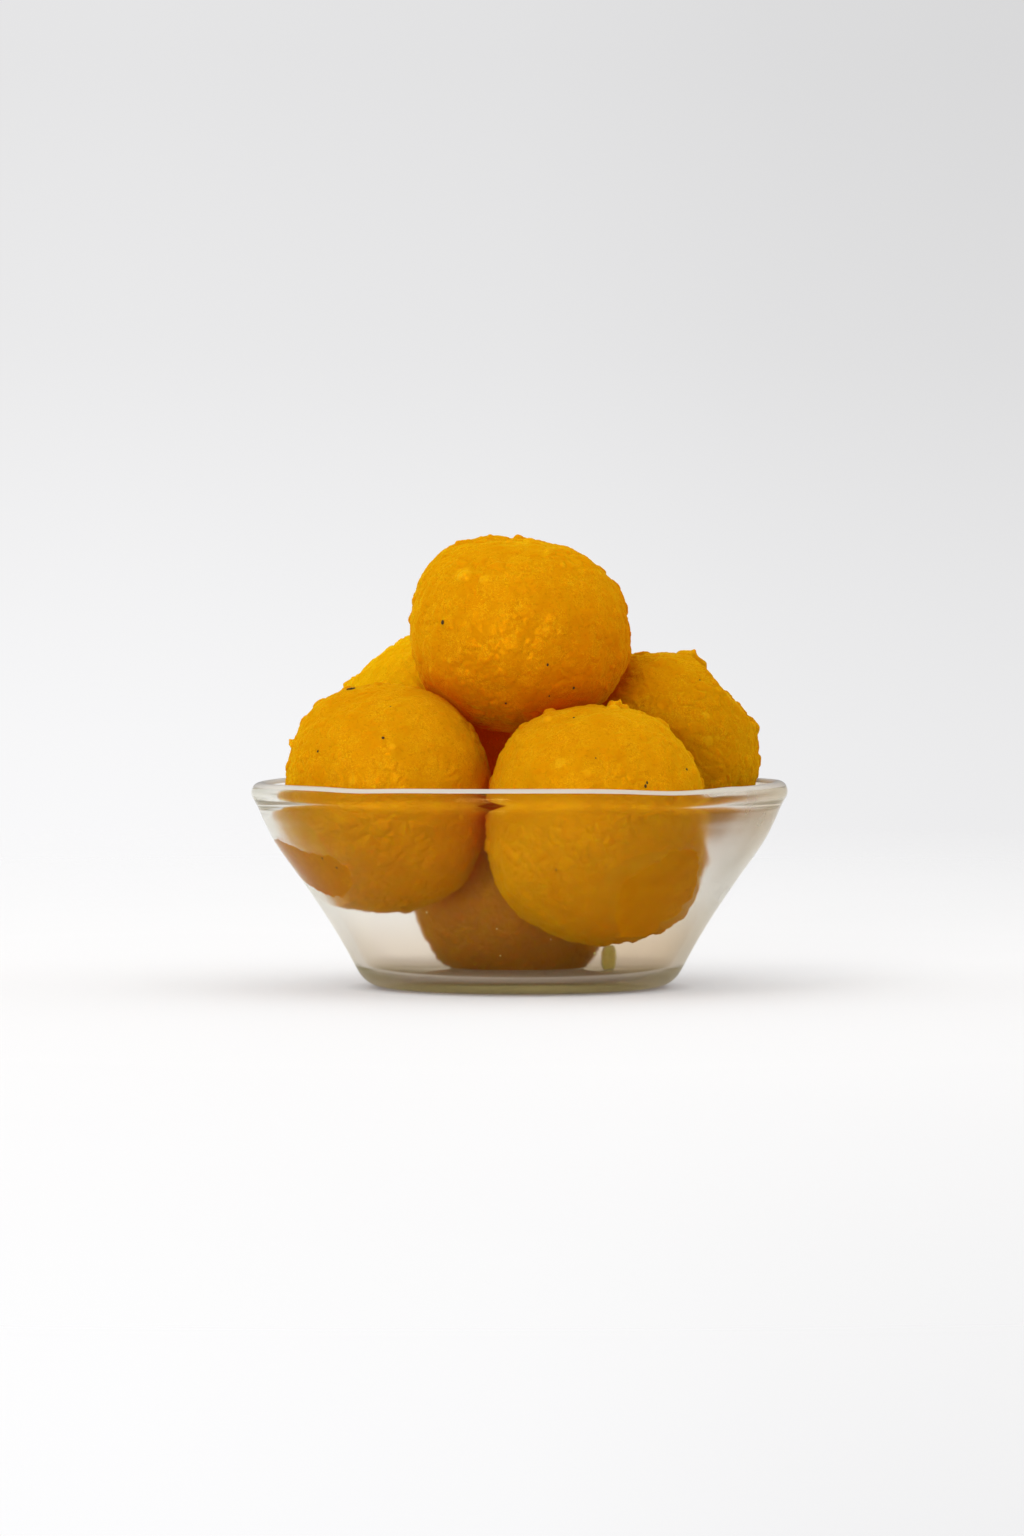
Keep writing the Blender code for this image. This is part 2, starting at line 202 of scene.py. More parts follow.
LADOOS = (
    ladoo(
        "ladoo_top", (0.1, -1.1, 71.9), (22.4, 22.2, 19.9), 3, colour=0.52, shade=0.80, soaked=1.0,
        bumps=(
            (135, 1.8, 26), (113, 0.4, 9), (76, -0.7, 12), (54, -0.4, 12), (48, -0.5, 16), (16, 0.35, 12),
            (-60, -0.8, 20),
        ),
        grains=((84, 12, 1.5), (97, 16, 1.2), (133, 42, 1.9)),
        specks=((170, 47, 0.42), (-46, 69, 0.26), (-64, 52, 0.24), (-44, 48, 0.3), (-102, 50, 0.3)),
        pale=(
            (133, 40, 1.9), (88, 19, 1.7), (38, 24, 0.7), (59, 41, 0.6), (-159, 33, 0.6), (122, 52, 1.2),
            (-122, 38, 0.9), (17, 76, 0.7), (-161, 49, 0.6),
        ),
        nubs=(
            (89, 0, 2.1, 0.55), (102, 0, 2.8, 0.55), (109, 0, 1.8, 0.3), (74, 0, 1.5, 0.45),
            (63, 2, 1.7, 0.3), (51, 4, 1.6, 0.3), (121, 2, 2.2, 0.5), (141, 0, 1.6, 0.15), (162, 0, 1.4, 0.4),
            (171, 2, 1.5, 0.4), (39, 2, 1.6, 0.45), (28, 0, 1.7, 0.45), (14, 0, 1.6, 0.45), (2, 2, 1.5, 0.4),
        ),
    ),
    ladoo(
        "ladoo_front_left", (-26.9, -11.3, 39.3), (21.2, 22.0, 22.8), 11,
        colour=0.35, shade=1.12, soaked=0.7, aired=1.0,
        bumps=((124, 0.7, 18), (172, -0.9, 20), (-146, 3.4, 24)),
        grains=((151, 2, 1.2),),
        specks=(
            (145, 42, 0.26), (92, 57, 0.34), (-136, 41, 0.3), (-124, 45, 0.26), (87, 36, 0.2),
            (109.6, 9, 0.4), (108.4, 9, 0.45), (107.2, 9, 0.4),
        ),
        pale=((82, 62, 0.8), (149, 70, 1.0), (151, 2, 1.3)),
        nubs=(
            (151, 0, 1.0, 1.0), (126, 0, 2.2, 0.5), (138, 0, 1.5, 0.4), (110, 2, 1.6, 0.45),
            (95, 4, 1.7, 0.4), (163, 0, 1.5, 0.4), (76, 3, 1.6, 0.4), (-100, 0, 1.8, 0.4), (-80, 0, 1.6, 0.4),
            (-64, 0, 1.6, 0.4),
        ),
    ),
    ladoo(
        "ladoo_front_right", (15.4, -19.9, 34.4), (22.3, 22.2, 23.6), 23,
        colour=0.3, shade=1.11, soaked=0.35, aired=1.0,
        bumps=((130, 0.5, 18), (57, 0.6, 10), (-52, 1.2, 17), (-88, 1.0, 17)),
        grains=((81, 6, 1.7), (68, 14, 1.2), (115, 18, 1.3), (-47, 4, 1.5)),
        specks=(
            (102, 22, 0.28), (31, 25, 0.3), (39, 57, 0.34), (40.5, 55, 0.26), (-135, 60, 0.26), (91, 54, 0.2),
        ),
        pale=((81, 6, 1.6), (115, 18, 1.2), (120, 52, 1.3), (100, 62, 0.9)),
        nubs=(
            (81.2, 0, 1.6, 1.5), (76.5, 0, 1.3, 0.9), (112.7, 2, 1.5, 0.6), (127, 2, 1.4, 0.5),
            (67.5, 0, 1.2, 0.4), (56, 0, 2.2, 0.5), (138, 0, 1.3, 0.3), (-47, 0, 1.6, 0.5),
            (-61, 2, 1.5, 0.5), (-72, 0, 1.4, 0.4), (-18, 0, 1.7, 0.5), (35, 0, 1.6, 0.45), (20, 0, 1.5, 0.4),
        ),
    ),
    ladoo(
        "ladoo_back_right", (28.5, 18.2, 47.9), (21.0, 21.0, 21.5), 37, colour=0.5, shade=0.69, soaked=0.1,
        bumps=((72, 1.0, 9), (10, 0.4, 10), (-38, 1.0, 22)),
        flats=((43, 18.6), (92, 20.0)),
        grains=((73, 2, 2.4), (14, 10, 1.5)),
        specks=((60, 40, 0.22),),
        pale=((13, 61, 1.1), (38, 56, 0.9), (73, 2, 1.6)),
        nubs=(
            (73.5, 0, 2.6, 0.9), (64.5, 0, 2.8, 1.5), (55, 0, 1.5, 0.4), (15, 0, 2.6, 0.6), (3, 0, 1.7, 0.4),
            (25, 0, 1.6, 0.4), (-6, 0, 1.6, 0.4), (38, 0, 1.6, 0.35), (99, 0, 2.4, 0.6),
        ),
    ),
    ladoo(
        "ladoo_back_left", (-17.4, 31.8, 52.2), (20.2, 20.4, 20.1), 51, colour=-0.5, shade=0.84,
        bumps=((152, 0.5, 9), (110, 0.4, 8)),
        flats=((130, 19.1),),
        pale=((125, 20, 2.0),),
        nubs=(
            (152, 0, 2.0, 0.6), (140, 0, 1.6, 0.5), (127, 0, 1.8, 0.5), (114, 0, 1.6, 0.5),
            (163, 0, 1.5, 0.4),
        ),
    ),
    ladoo(
        "ladoo_bottom", (-1.5, 14.9, 20.6), (21.6, 20.2, 21.0), 67,
        colour=0.6, shade=0.85, soaked=0.4, misted=0.055,
        bumps=((-50, 1.2, 16), (-160, -0.8, 20)),
    ),
)

LOOSE_GRAIN_FOOT = np.array((18.3, 2.0, 3.0)) * MM
LOOSE_GRAIN_HALVES = np.array((1.5, 1.3, 2.9)) * MM
LOOSE_GRAIN_SQUARENESS = 3.2
# the crumbs on the glass, as (azimuth in degrees, height in mm)
CRUMB_PLACES = (
    (-118, 17.5), (-107, 15.7), (-97, 14.2), (-96.5, 8.6), (-80, 12), (-64, 9),
    (60, 20), (120, 14), (150, 22),
)
CRUMB_RADIUS = (0.12, 0.2)      # in mm

# The side of each ladoo that faces the light; painted shade deepens the skin's colour on the side turned away
# from it.
LIGHT_SIDE = Vector((-0.4, -0.45, 0.8))
# Painted shade: the front ladoos darken upwards between these heights, so their parts in the glass read
# lighter.
UPPER_SHADE_HEIGHTS = (14.0 * MM, 48.0 * MM)

# Where syrup wets the inner wall: the outline of each patch as (azimuth in degrees, height in mm).
WET_PATCHES = {
    "ladoo_front_left": (
        (-188, 31.0), (-171, 31.4), (-161.7, 30.8), (-155.1, 29.5), (-142, 28.5), (-138.9, 26.8),
        (-138.4, 24.8), (-141.6, 22.2), (-149.2, 20.2), (-156.2, 20.3), (-162.5, 21.2), (-169, 22.4),
        (-180, 24.5), (-189, 27.5),
    ),
    "ladoo_front_right": (
        (-42.4, 29.8), (-46.4, 30.2), (-51.8, 29.9), (-53.8, 27.9), (-58.1, 26.3), (-61.9, 23.7),
        (-62.2, 21.7), (-61.3, 18.8), (-60.2, 15.7), (-56.2, 12.1), (-51.2, 12.0), (-44.8, 12.3),
        (-42.2, 13.0), (-42.0, 14.8), (-36.2, 16.4), (-34.8, 17.4), (-36.0, 18.6), (-33.6, 20.0),
        (-34.4, 21.4), (-36.6, 23.9), (-39.6, 27.1),
    ),
}


# ---- the stage ----
FLOOR_RADIUS = 2.4
FLOOR_DROP = 0.2 * MM           # below the foot
FLOOR_FADE = (0.22, 0.85)       # between these distances from the bowl the floor fades out
# how the floor darkens to the front and the right, painted shade where the light falls off, and how its glow
# grows past the foot, as (from, to, share at first, share at last)
FLOOR_TO_FRONT = (-0.5, 0.1, 0.90, 1.0)
FLOOR_TO_RIGHT = (0.02, 0.16, 1.0, 0.95)
FLOOR_PAST_FOOT = (0.029, 0.036, 0.4, 1.0)
# the brightness of the surroundings, as (share of the way up, level) and (share across, level)
LEVELS_UP = (
    (-0.1, 0.975), (-0.055, 0.965), (-0.04, 0.955), (-0.025, 0.94), (-0.0035, 0.905), (0.012, 0.875),
    (0.035, 0.83), (0.079, 0.79), (0.3, 0.82), (0.55, 0.92), (0.75, 1.15), (1.0, 1.35),
)
LEVELS_ACROSS = (
    (-1.0, 1.1), (-0.2, 1.02), (-0.06, 1.0), (0.0, 0.965), (0.04, 0.915), (0.075, 0.885),
    (0.25, 0.95), (0.5, 1.15), (1.0, 1.25),
)
KEY_PLACE = (-0.75, -1.1, 1.45)
KEY_SIZE = 0.9
FRONT_FILL_PLACE = (-0.5, -1.75, 0.2)
FRONT_FILL_SIZE = 0.8
LIT_PLACE = (0.0, 0.0, 0.04)
CAMERA_AIM = (-1.536 * MM, 0.0, 44.7 * MM)
LIGHT_BOUNCES = 32              # enough for light to pass both walls of the bowl


# ---------------------------------------------------------------- settings


def length(name, text, millimetres, **limits):
    return FloatProperty(
        name=name, description=text, default=millimetres * MM,
        unit="LENGTH", subtype="DISTANCE", precision=5, **limits
    )


def factor(name, text, value, low=0.0, high=1.0):
    return FloatProperty(name=name, description=text, default=value, min=low, max=high, subtype="FACTOR")


def amount(name, text, value, low=0.0, unit="NONE"):
    return FloatProperty(name=name, description=text, default=value, min=low, unit=unit)


def count(name, text, value, low):
    return IntProperty(name=name, description=text, default=value, min=low)


def colour(name, text, value):
    return FloatVectorProperty(
        name=name, description=text, default=value, size=3, min=0.0, max=1.0, subtype="COLOR"
    )


class BowlSettings(PropertyGroup):
    wall: length("Wall", "Thickness of the glass wall", 2.4, min=0.5 * MM)
    rim_wave: length("Rim wave", "How far the pressed rim rises and dips", 0.22)
    ripple: length("Ripple", "Height of the shallow waves on the outside of the wall", 0.035)
    sides: count("Sides", "Steps of the turned section round the axis", 400, 32)
    tint: colour("Glass tint", "Colour of the clear glass", (0.975, 0.97, 0.96))
    gloss: colour("Gloss", "Strength of the glass's straight-on reflections", (0.22, 0.19, 0.05))
    roughness: factor("Roughness", "Roughness of the bare glass", 0.03)
    film: factor("Syrup film", "Roughness where a film of syrup or wear clouds the glass most", 0.5)
    bend: amount("Bend", "Index of refraction of the glass", 1.45, 1.0)
    grease: amount("Grease", "Thickness in nanometres of the greasy film that dulls reflections", 1.0)
    # Painted highlight: the rim tint and clearness make the top of the rim white and less clear.
    rim_highlight_tint: colour("Rim tint", "Colour of the rubbed top of the rim", (0.95, 0.89, 0.80))
    rim_highlight_clearness: factor("Rim clearness", "How clear the rubbed top of the rim still is", 0.6)
    # Partly a syrup tint, partly painted shade and painted reflection of the ladoos on the glass's low and
    # right side.
    stain_and_shade_tint: colour("Foot tint", "Colour of the thick syrupy foot", (0.84, 0.74, 0.62))
    depth_tint: colour("Depth tint", "Colour that thick glass takes", (0.62, 0.56, 0.10))
    depth: amount("Depth", "How fast the glass takes its colour, per metre", 18.0)


class LadooSettings(PropertyGroup):
    squareness: amount("Squareness", "2 is a true ellipsoid, more is squarer", 2.2, 1.5)
    lumps: length("Lumps", "Height of the broad lumps", 0.7)
    ripples: length("Ripples", "Height of the ripples", 0.45)
    grains: length("Grains", "Relief of the soft grains pressed together under the skin", 0.5)
    fine_grains: length("Fine grains", "Height of the small rounded grains of the skin", 0.60)
    crumbs: length("Crumbs", "Height of the smallest grains of the skin", 0.2)
    crumple: length("Crumple", "Relief of the finest wrinkles that the mesh carries", 0.06)
    cuts: count("Cuts", "Cuts along each edge of the starting sphere", 85, 15)
    golden: colour("Golden", "Colour of the lightest ladoo", (0.62, 0.272, 0.0010))
    orange: colour("Orange", "Colour of the deepest ladoo", (0.57, 0.190, 0.0006))
    pale: colour("Pale grain", "Colour of the palest grains", (0.80, 0.43, 0.006))
    gloss: colour("Gloss", "Colour of the light that the syrupy skin reflects", (1.0, 0.70, 0.12))
    rim: colour("Rim", "Colour of the light that grazes the translucent skin", (0.9, 0.66, 0.01))
    glow: colour("Glow", "Light that comes through the ladoos where two of them touch", (0.07, 0.005, 0.0))
    speck: colour("Speck", "Colour of the ground cardamom specks", (0.022, 0.010, 0.003))
    crumb_dark: colour("Crumb", "Deeper colour of the loose crumbs", (0.84, 0.76, 0.22))
    crumb_light: colour("Pale crumb", "Paler colour of the loose crumbs", (0.94, 0.88, 0.36))
    translucency: length("Translucency", "How far light spreads under the skin", 2.2)
    # Painted shade: multiplies the colour on the side of each ladoo turned away from the light.
    soaked: colour("Soaked", "Multiplies the colour where syrup settles", (0.90, 0.62, 0.45))
    # Painted shade: multiplies the colour of the front ladoos above the rim.
    aired: colour("Aired", "Multiplies the colour where the skin has dried", (0.69, 0.67, 0.75))
    wet: colour("Wet", "Multiplies the colour where syrup joins the skin to the glass", (1.0, 1.0, 0.6))
    # Painted reflection: a pale veil on the lowest ladoo for the glass in front of it.
    misted: colour("Misted", "Colour of the pale film of fat on the lowest ladoo", (0.75, 0.55, 0.5))
    # Painted shade: multiplies the colour where ladoos touch and in the heap's dark middle.
    pressed: colour("Pressed", "Multiplies the colour where two ladoos touch", (1.0, 0.30, 0.25))
    roughness: factor("Roughness", "Roughness of the syrupy skin", 0.33)
    sheen: factor("Syrup sheen", "Share of the skin that shines golden", 0.15)


class StageSettings(PropertyGroup):
    floor: colour("Floor", "Colour of the pale floor", (0.585, 0.582, 0.578))
    floor_glow: colour("Floor glow", "Light that the floor passes on into its shadows", (0.25, 0.249, 0.248))
    key: amount("Key light", "Power of the large soft light above the front left", 5.6, unit="POWER")
    front_fill: amount("Front fill", "Power of the low light at the front left", 19.0, unit="POWER")
    fill: amount("Fill", "Strength of the pale surroundings", 1.0)
    air: colour("Air", "Tint of the pale surroundings", (0.993, 0.991, 1.0))
    distance: length("Camera distance", "From the camera to the bowl's axis", 1333.0)
    height: length("Camera height", "Height of the camera above the floor", 83.8)
    lens: amount("Lens", "Focal length", 152.55, 1.0, "CAMERA")


# ---------------------------------------------------------------- modelling helpers


def deselect_all():
    if bpy.context.object and bpy.context.object.mode != "OBJECT":
        bpy.ops.object.mode_set(mode="OBJECT")
    bpy.ops.object.select_all(action="DESELECT")


def select_only(piece):
    deselect_all()
    piece.select_set(True)
    bpy.context.view_layer.objects.active = piece


def name_piece(piece, name):
    piece.name = name
    piece.data.name = name
    if piece.name != name:
        raise RuntimeError("the name " + name + " is taken")
    return piece


def in_edit_mode(piece, *steps):
    """Run edit-mode steps on all of a piece."""
    select_only(piece)
    bpy.ops.object.mode_set(mode="EDIT")
    bpy.ops.mesh.select_all(action="SELECT")
    for step in steps:
        step()
    bpy.ops.object.mode_set(mode="OBJECT")


def settle(piece):
    """Put a piece's place, turn and scale into its mesh."""
    select_only(piece)
    bpy.ops.object.transform_apply(location=True, rotation=True, scale=True)


def add_ball(radius, place, subdivisions=2):
    deselect_all()
    bpy.ops.mesh.primitive_ico_sphere_add(subdivisions=subdivisions, radius=radius, location=place)
    return bpy.context.object


def join_pieces(pieces, name):
    deselect_all()
    for piece in pieces:
        piece.select_set(True)
    bpy.context.view_layer.objects.active = pieces[0]
    bpy.ops.object.join()
    joined = name_piece(bpy.context.object, name)
    settle(joined)
    return joined


def drawn_direction(draw, lowest, first_turn, last_turn):
    """A direction drawn at random between two turns about the vertical, and not below the lowest."""
    height = draw.uniform(lowest, 1.0)
    turn = draw.uniform(first_turn, last_turn)
    level = math.sqrt(1.0 - height * height)
    return Vector((level * math.cos(turn), level * math.sin(turn), height))


def read_points(piece):
    values = np.empty(len(piece.data.vertices) * 3)
    piece.data.vertices.foreach_get("co", values)
    return values.reshape(-1, 3)


def write_points(piece, points):
    piece.data.vertices.foreach_set("co", np.ascontiguousarray(points, dtype=np.float64).ravel())
    piece.data.update()


def write_attribute(piece, name, values):
    attribute = piece.data.attributes.new(name, "FLOAT", "POINT")
    attribute.data.foreach_set("value", np.ascontiguousarray(values, dtype=np.float32))


def sampled(reader, points):
    """A noise function's value at each of many points."""
    return np.array([reader(Vector(point)) for point in points])


def noise_at(points, size, shift=0.0):
    """Smooth noise of about one size, at each of many points."""
    return sampled(noise.noise, points / size + shift)


def nearest_cell(point):
    return noise.voronoi(point)[0][0]


def cobble(point):
    """Grains side by side: 0 in the creases between them, up to 1 on the tallest."""
    (nearest, second, *_), (middle, *_) = noise.voronoi(point)
    return (1.0 - math.exp((nearest - second) / 0.3)) * (0.62 + 0.38 * noise.cell(middle * 7.3))


def smooth_step(values, low, high):
    share = np.clip((values - low) / (high - low), 0.0, 1.0)
    return share * share * (3.0 - 2.0 * share)


def finish_piece(piece, material, nodes=()):
    piece.data.materials.clear()
    piece.data.materials.append(material)
    piece.data.shade_smooth()
    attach(piece, "root")
    if nodes:
        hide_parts(*nodes)


# ---------------------------------------------------------------- shader helpers


def new_material(name):
    material = bpy.data.materials.new(name)
    material.use_nodes = True
    return material, material.node_tree, material.node_tree.nodes["Principled BSDF"]


def add_node(tree, kind, place, **settings):
    """Add a node. Settings named like sockets, with _ for a space, set their values."""
    node = tree.nodes.new(kind)
    node.location = place
    for key, value in settings.items():
        if hasattr(node, key):
            setattr(node, key, value)
        else:
            node.inputs[key.replace("_", " ")].default_value = value
    return node


def math_node(tree, place, operation, first, second=None):
    node = add_node(tree, "ShaderNodeMath", place, operation=operation)
    for socket, value in zip(node.inputs, (first, second)):
        if value is None:
            continue
        if isinstance(value, (int, float)):
            socket.default_value = value
        else:
            tree.links.new(value, socket)
    return node.outputs[0]


def mix_colour(tree, place, share, first, second, blend="MIX"):
    node = add_node(tree, "ShaderNodeMix", place, data_type="RGBA", blend_type=blend)
    for socket, value in ((node.inputs[0], share), (node.inputs[6], first), (node.inputs[7], second)):
        if isinstance(value, bpy.types.NodeSocket):
            tree.links.new(value, socket)
        elif isinstance(value, (int, float)):
            socket.default_value = value
        else:
            socket.default_value = (*value, 1.0)
    return node.outputs[2]


def remap(tree, place, value, from_low, from_high, to_low, to_high):
    node = add_node(
        tree, "ShaderNodeMapRange", place,
        From_Min=from_low, From_Max=from_high, To_Min=to_low, To_Max=to_high,
    )
    tree.links.new(value, node.inputs["Value"])
    return node.outputs["Result"]


def fill_sockets(tree, node, **values):
    """Link a node's inputs or set their values. Their names have _ for a space."""
    for key, value in values.items():
        socket = node.inputs[key.replace("_", " ")]
        if isinstance(value, bpy.types.NodeSocket):
            tree.links.new(value, socket)
        else:
            socket.default_value = value


def read_mask(tree, place, name):
    """A piece's own attribute, from 0 to 1."""
    return add_node(tree, "ShaderNodeAttribute", place, attribute_name=name).outputs["Fac"]


def roughen(tree, shader, height, distance, strength=1.0):
    """Let a height in the shader turn the surface's normal."""
    relief = add_node(tree, "ShaderNodeBump", (-250, -300), Strength=strength, Distance=distance)
    fill_sockets(tree, relief, Height=height)
    fill_sockets(tree, shader, Normal=relief.outputs["Normal"])


def grain_group():
    """Shared by the skins and the crumbs: a mask for each kind of grain, and the height of the fine ones."""
    group = bpy.data.node_groups.get("pressed_grain")
    if group:
        return group
    group = bpy.data.node_groups.new("pressed_grain", "ShaderNodeTree")
    face = group.interface
    face.new_socket("Shift", in_out="INPUT", socket_type="NodeSocketVector")
    face.new_socket("Grain Scale", in_out="INPUT", socket_type="NodeSocketFloat")
    for name in ("Broad", "Cells", "Flakes", "Wrinkles", "Pits", "Height"):
        face.new_socket(name, in_out="OUTPUT", socket_type="NodeSocketFloat")
    entry = add_node(group, "NodeGroupInput", (-1100, 0))
    leave = add_node(group, "NodeGroupOutput", (700, 0))
    coordinates = add_node(group, "ShaderNodeTexCoord", (-1100, 300))
    moved = add_node(group, "ShaderNodeVectorMath", (-900, 200), operation="ADD")
    group.links.new(coordinates.outputs["Object"], moved.inputs[0])
    group.links.new(entry.outputs["Shift"], moved.inputs[1])
    place = moved.outputs[0]

    broad = add_node(group, "ShaderNodeTexNoise", (-600, 700), Scale=110.0, Detail=2.0, Roughness=0.55)
    patches = add_node(group, "ShaderNodeTexNoise", (-600, 450), Scale=230.0, Detail=1.0)
    cells = add_node(group, "ShaderNodeTexVoronoi", (-600, 200), feature="SMOOTH_F1", Smoothness=0.25)
    flakes = add_node(group, "ShaderNodeTexNoise", (-600, -100), Detail=3.0, Roughness=0.6)
    lines = add_node(group, "ShaderNodeTexNoise", (-600, -400), Detail=1.5, Roughness=0.6, Distortion=1.1)
    pits = add_node(group, "ShaderNodeTexVoronoi", (-600, -700), feature="F1")
    for node in (broad, patches, cells, flakes, lines, pits):
        group.links.new(place, node.inputs["Vector"])
    for node, times in (
        (cells, 1.0), (flakes, FLAKES_PER_GRAIN), (lines, WRINKLES_PER_GRAIN), (pits, PITS_PER_GRAIN),
    ):
        scale = math_node(group, (-800, node.location.y), "MULTIPLY", entry.outputs["Grain Scale"], times)
        group.links.new(scale, node.inputs["Scale"])
    grey = add_node(group, "ShaderNodeSeparateColor", (-350, 150))
    group.links.new(cells.outputs["Color"], grey.inputs[0])

    # wrinkles: thin lines where a noise passes its middle value, stronger in patches
    off_line = math_node(group, (-500, -350), "SUBTRACT", lines.outputs["Fac"], 0.5)
    off_line = math_node(group, (-400, -400), "ABSOLUTE", off_line)
    ridge = remap(group, (-300, -400), off_line, 0.0, 0.06, 1.0, 0.0)
    crinkled = remap(group, (-300, 450), patches.outputs["Fac"], 0.36, 0.62, 0.2, 1.0)
    wrinkles = math_node(group, (-100, -300), "MULTIPLY", ridge, crinkled)
    # pits, in some of the cells only
    pit = remap(group, (-300, -700), pits.outputs["Distance"], 0.12, 0.3, 1.0, 0.0)
    pitted = remap(group, (-200, -850), grey.outputs[1], 0.72, 0.8, 0.0, 1.0)
    pit = math_node(group, (-100, -700), "MULTIPLY", pit, pitted)

    raised = math_node(group, (50, -300), "MULTIPLY", wrinkles, 0.9)
    flaked = math_node(group, (50, -500), "MULTIPLY", flakes.outputs["Fac"], 0.35)
    sunk = math_node(group, (150, -600), "MULTIPLY", pit, 0.5)
    height = math_node(group, (150, -400), "ADD", raised, flaked)
    for name, value in (
        ("Broad", remap(group, (300, 500), broad.outputs["Fac"], 0.3, 0.7, 0.0, 1.0)),
        ("Cells", grey.outputs[0]),
        ("Flakes", remap(group, (300, 100), flakes.outputs["Fac"], 0.35, 0.7, 0.0, 1.0)),
        ("Wrinkles", wrinkles),
        ("Pits", pit),
        ("Height", math_node(group, (250, -500), "SUBTRACT", height, sunk)),
    ):
        group.links.new(value, leave.inputs[name])
    return group


def skin_material(item, settings):
    """The syrupy skin of one ladoo, from golden to orange, with its paler grains."""
    material, tree, shader = new_material(item.name + "_skin")
    grains = add_node(tree, "ShaderNodeGroup", (-1100, 0), node_tree=grain_group())
    shift = (0.013 * item.seed, -0.007 * item.seed, 0.011 * item.seed)
    fill_sockets(tree, grains, Shift=shift, Grain_Scale=GRAINS_PER_METRE)
    deep = [low + (high - low) * item.colour for low, high in zip(settings.golden, settings.orange)]
    # A pale painted veil on the lowest ladoo, standing in for the glass's reflection in front of it.
    deep = [value * item.shade + veil * item.misted for value, veil in zip(deep, settings.misted)]
    pale = [value * item.shade for value in settings.pale]
    darker = [deep[0] * 0.98, deep[1] * 0.94, deep[2] * 0.9]
    lighter = [deep[0] * 1.02, deep[1] * 1.05, deep[2] * 1.2]
    in_pits = [deep[0] * 0.7, deep[1] * 0.55, deep[2]]
    tone = mix_colour(tree, (-800, 300), grains.outputs["Broad"], darker, lighter)
    # The Wrinkles share is partly pale crinkles, partly painted glints.
    for index, (name, low, high, share) in enumerate(PALE_SHARES):
        across = -650 + 150 * index
        mask = remap(tree, (across - 150, -50 * index - 50), grains.outputs[name], low, high, 0.0, share)
        tone = mix_colour(tree, (across, 250 - 50 * index), mask, tone, pale)
    pits = remap(tree, (-350, -150), grains.outputs["Pits"], 0.0, 1.0, 0.0, PIT_SHARE)
    tone = mix_colour(tree, (-200, 120), pits, tone, in_pits)
    tone = mix_colour(tree, (-100, 100), read_mask(tree, (-350, -50), "pale"), tone, pale)
    contact = read_mask(tree, (-350, 600), "contact")
    for height, mask, tint in (
        # Painted shade: the syrup mask darkens the side turned away from the light.
        (300, read_mask(tree, (-350, 400), "syrup"), settings.soaked),
        # Painted shade where ladoos touch and in the heap's dark middle.
        (500, contact, settings.pressed),
        # Painted shade on the front ladoos above the rim.
        (700, read_mask(tree, (-350, 800), "aired"), settings.aired),
        (900, read_mask(tree, (-350, 1000), "wet"), settings.wet),
    ):
        tone = mix_colour(tree, (-150, height), mask, tone, tint, "MULTIPLY")
    # Painted glow: an emission where ladoos touch and in the heap's middle, standing in for light through
    # them.
    glowing = remap(tree, (-150, -500), contact, 0.35, 1.0, 0.0, 1.0)
    smoothest, roughest = settings.roughness - 0.08, settings.roughness + 0.12
    fill_sockets(
        tree, shader,
        Base_Color=tone,
        Emission_Color=mix_colour(tree, (0, -500), glowing, (0.0, 0.0, 0.0), settings.glow),
        Emission_Strength=1.0,
        Roughness=remap(tree, (-450, -300), grains.outputs["Flakes"], 0.0, 1.0, smoothest, roughest),
        Metallic=settings.sheen,
        Subsurface_Weight=SKIN_SUBSURFACE,
        Subsurface_Radius=SKIN_SCATTER,
        Subsurface_Scale=settings.translucency,
        Specular_Tint=(*settings.gloss, 1.0),
        Specular_IOR_Level=0.0,
        Sheen_Weight=SKIN_SHEEN,
        Sheen_Roughness=SKIN_SHEEN_ROUGHNESS,
        Sheen_Tint=(*settings.rim, 1.0),
    )
    roughen(tree, shader, grains.outputs["Height"], SKIN_BUMP)
    return material


def crumb_material(settings):
    """The paler inside of a ladoo, of which the loose grain and the crumbs are."""
    material, tree, shader = new_material("crumb")
    grains = add_node(tree, "ShaderNodeGroup", (-700, 0), node_tree=grain_group())
    fill_sockets(tree, grains, Grain_Scale=CRUMB_GRAINS_PER_METRE)
    tone = mix_colour(tree, (-350, 100), grains.outputs["Flakes"], settings.crumb_dark, settings.crumb_light)
    fill_sockets(
        tree, shader, Base_Color=tone, Roughness=0.45, Subsurface_Weight=0.6,
        Subsurface_Radius=(1.0, 0.7, 0.2), Subsurface_Scale=0.5 * settings.translucency,
    )
    roughen(tree, shader, grains.outputs["Height"], 0.15 * MM, 0.5)
    return material


def speck_material(settings):
    material, tree, shader = new_material("cardamom")
    coordinates = add_node(tree, "ShaderNodeTexCoord", (-800, 100))
    spots = add_node(tree, "ShaderNodeTexNoise", (-600, 100), Scale=3000.0, Detail=2.0)
    tree.links.new(coordinates.outputs["Object"], spots.inputs["Vector"])
    lighter = [value * 2.6 for value in settings.speck]
    tone = mix_colour(tree, (-300, 100), spots.outputs["Fac"], settings.speck, lighter)
    fill_sockets(tree, shader, Base_Color=tone, Roughness=0.7, Specular_IOR_Level=0.1)
    return material


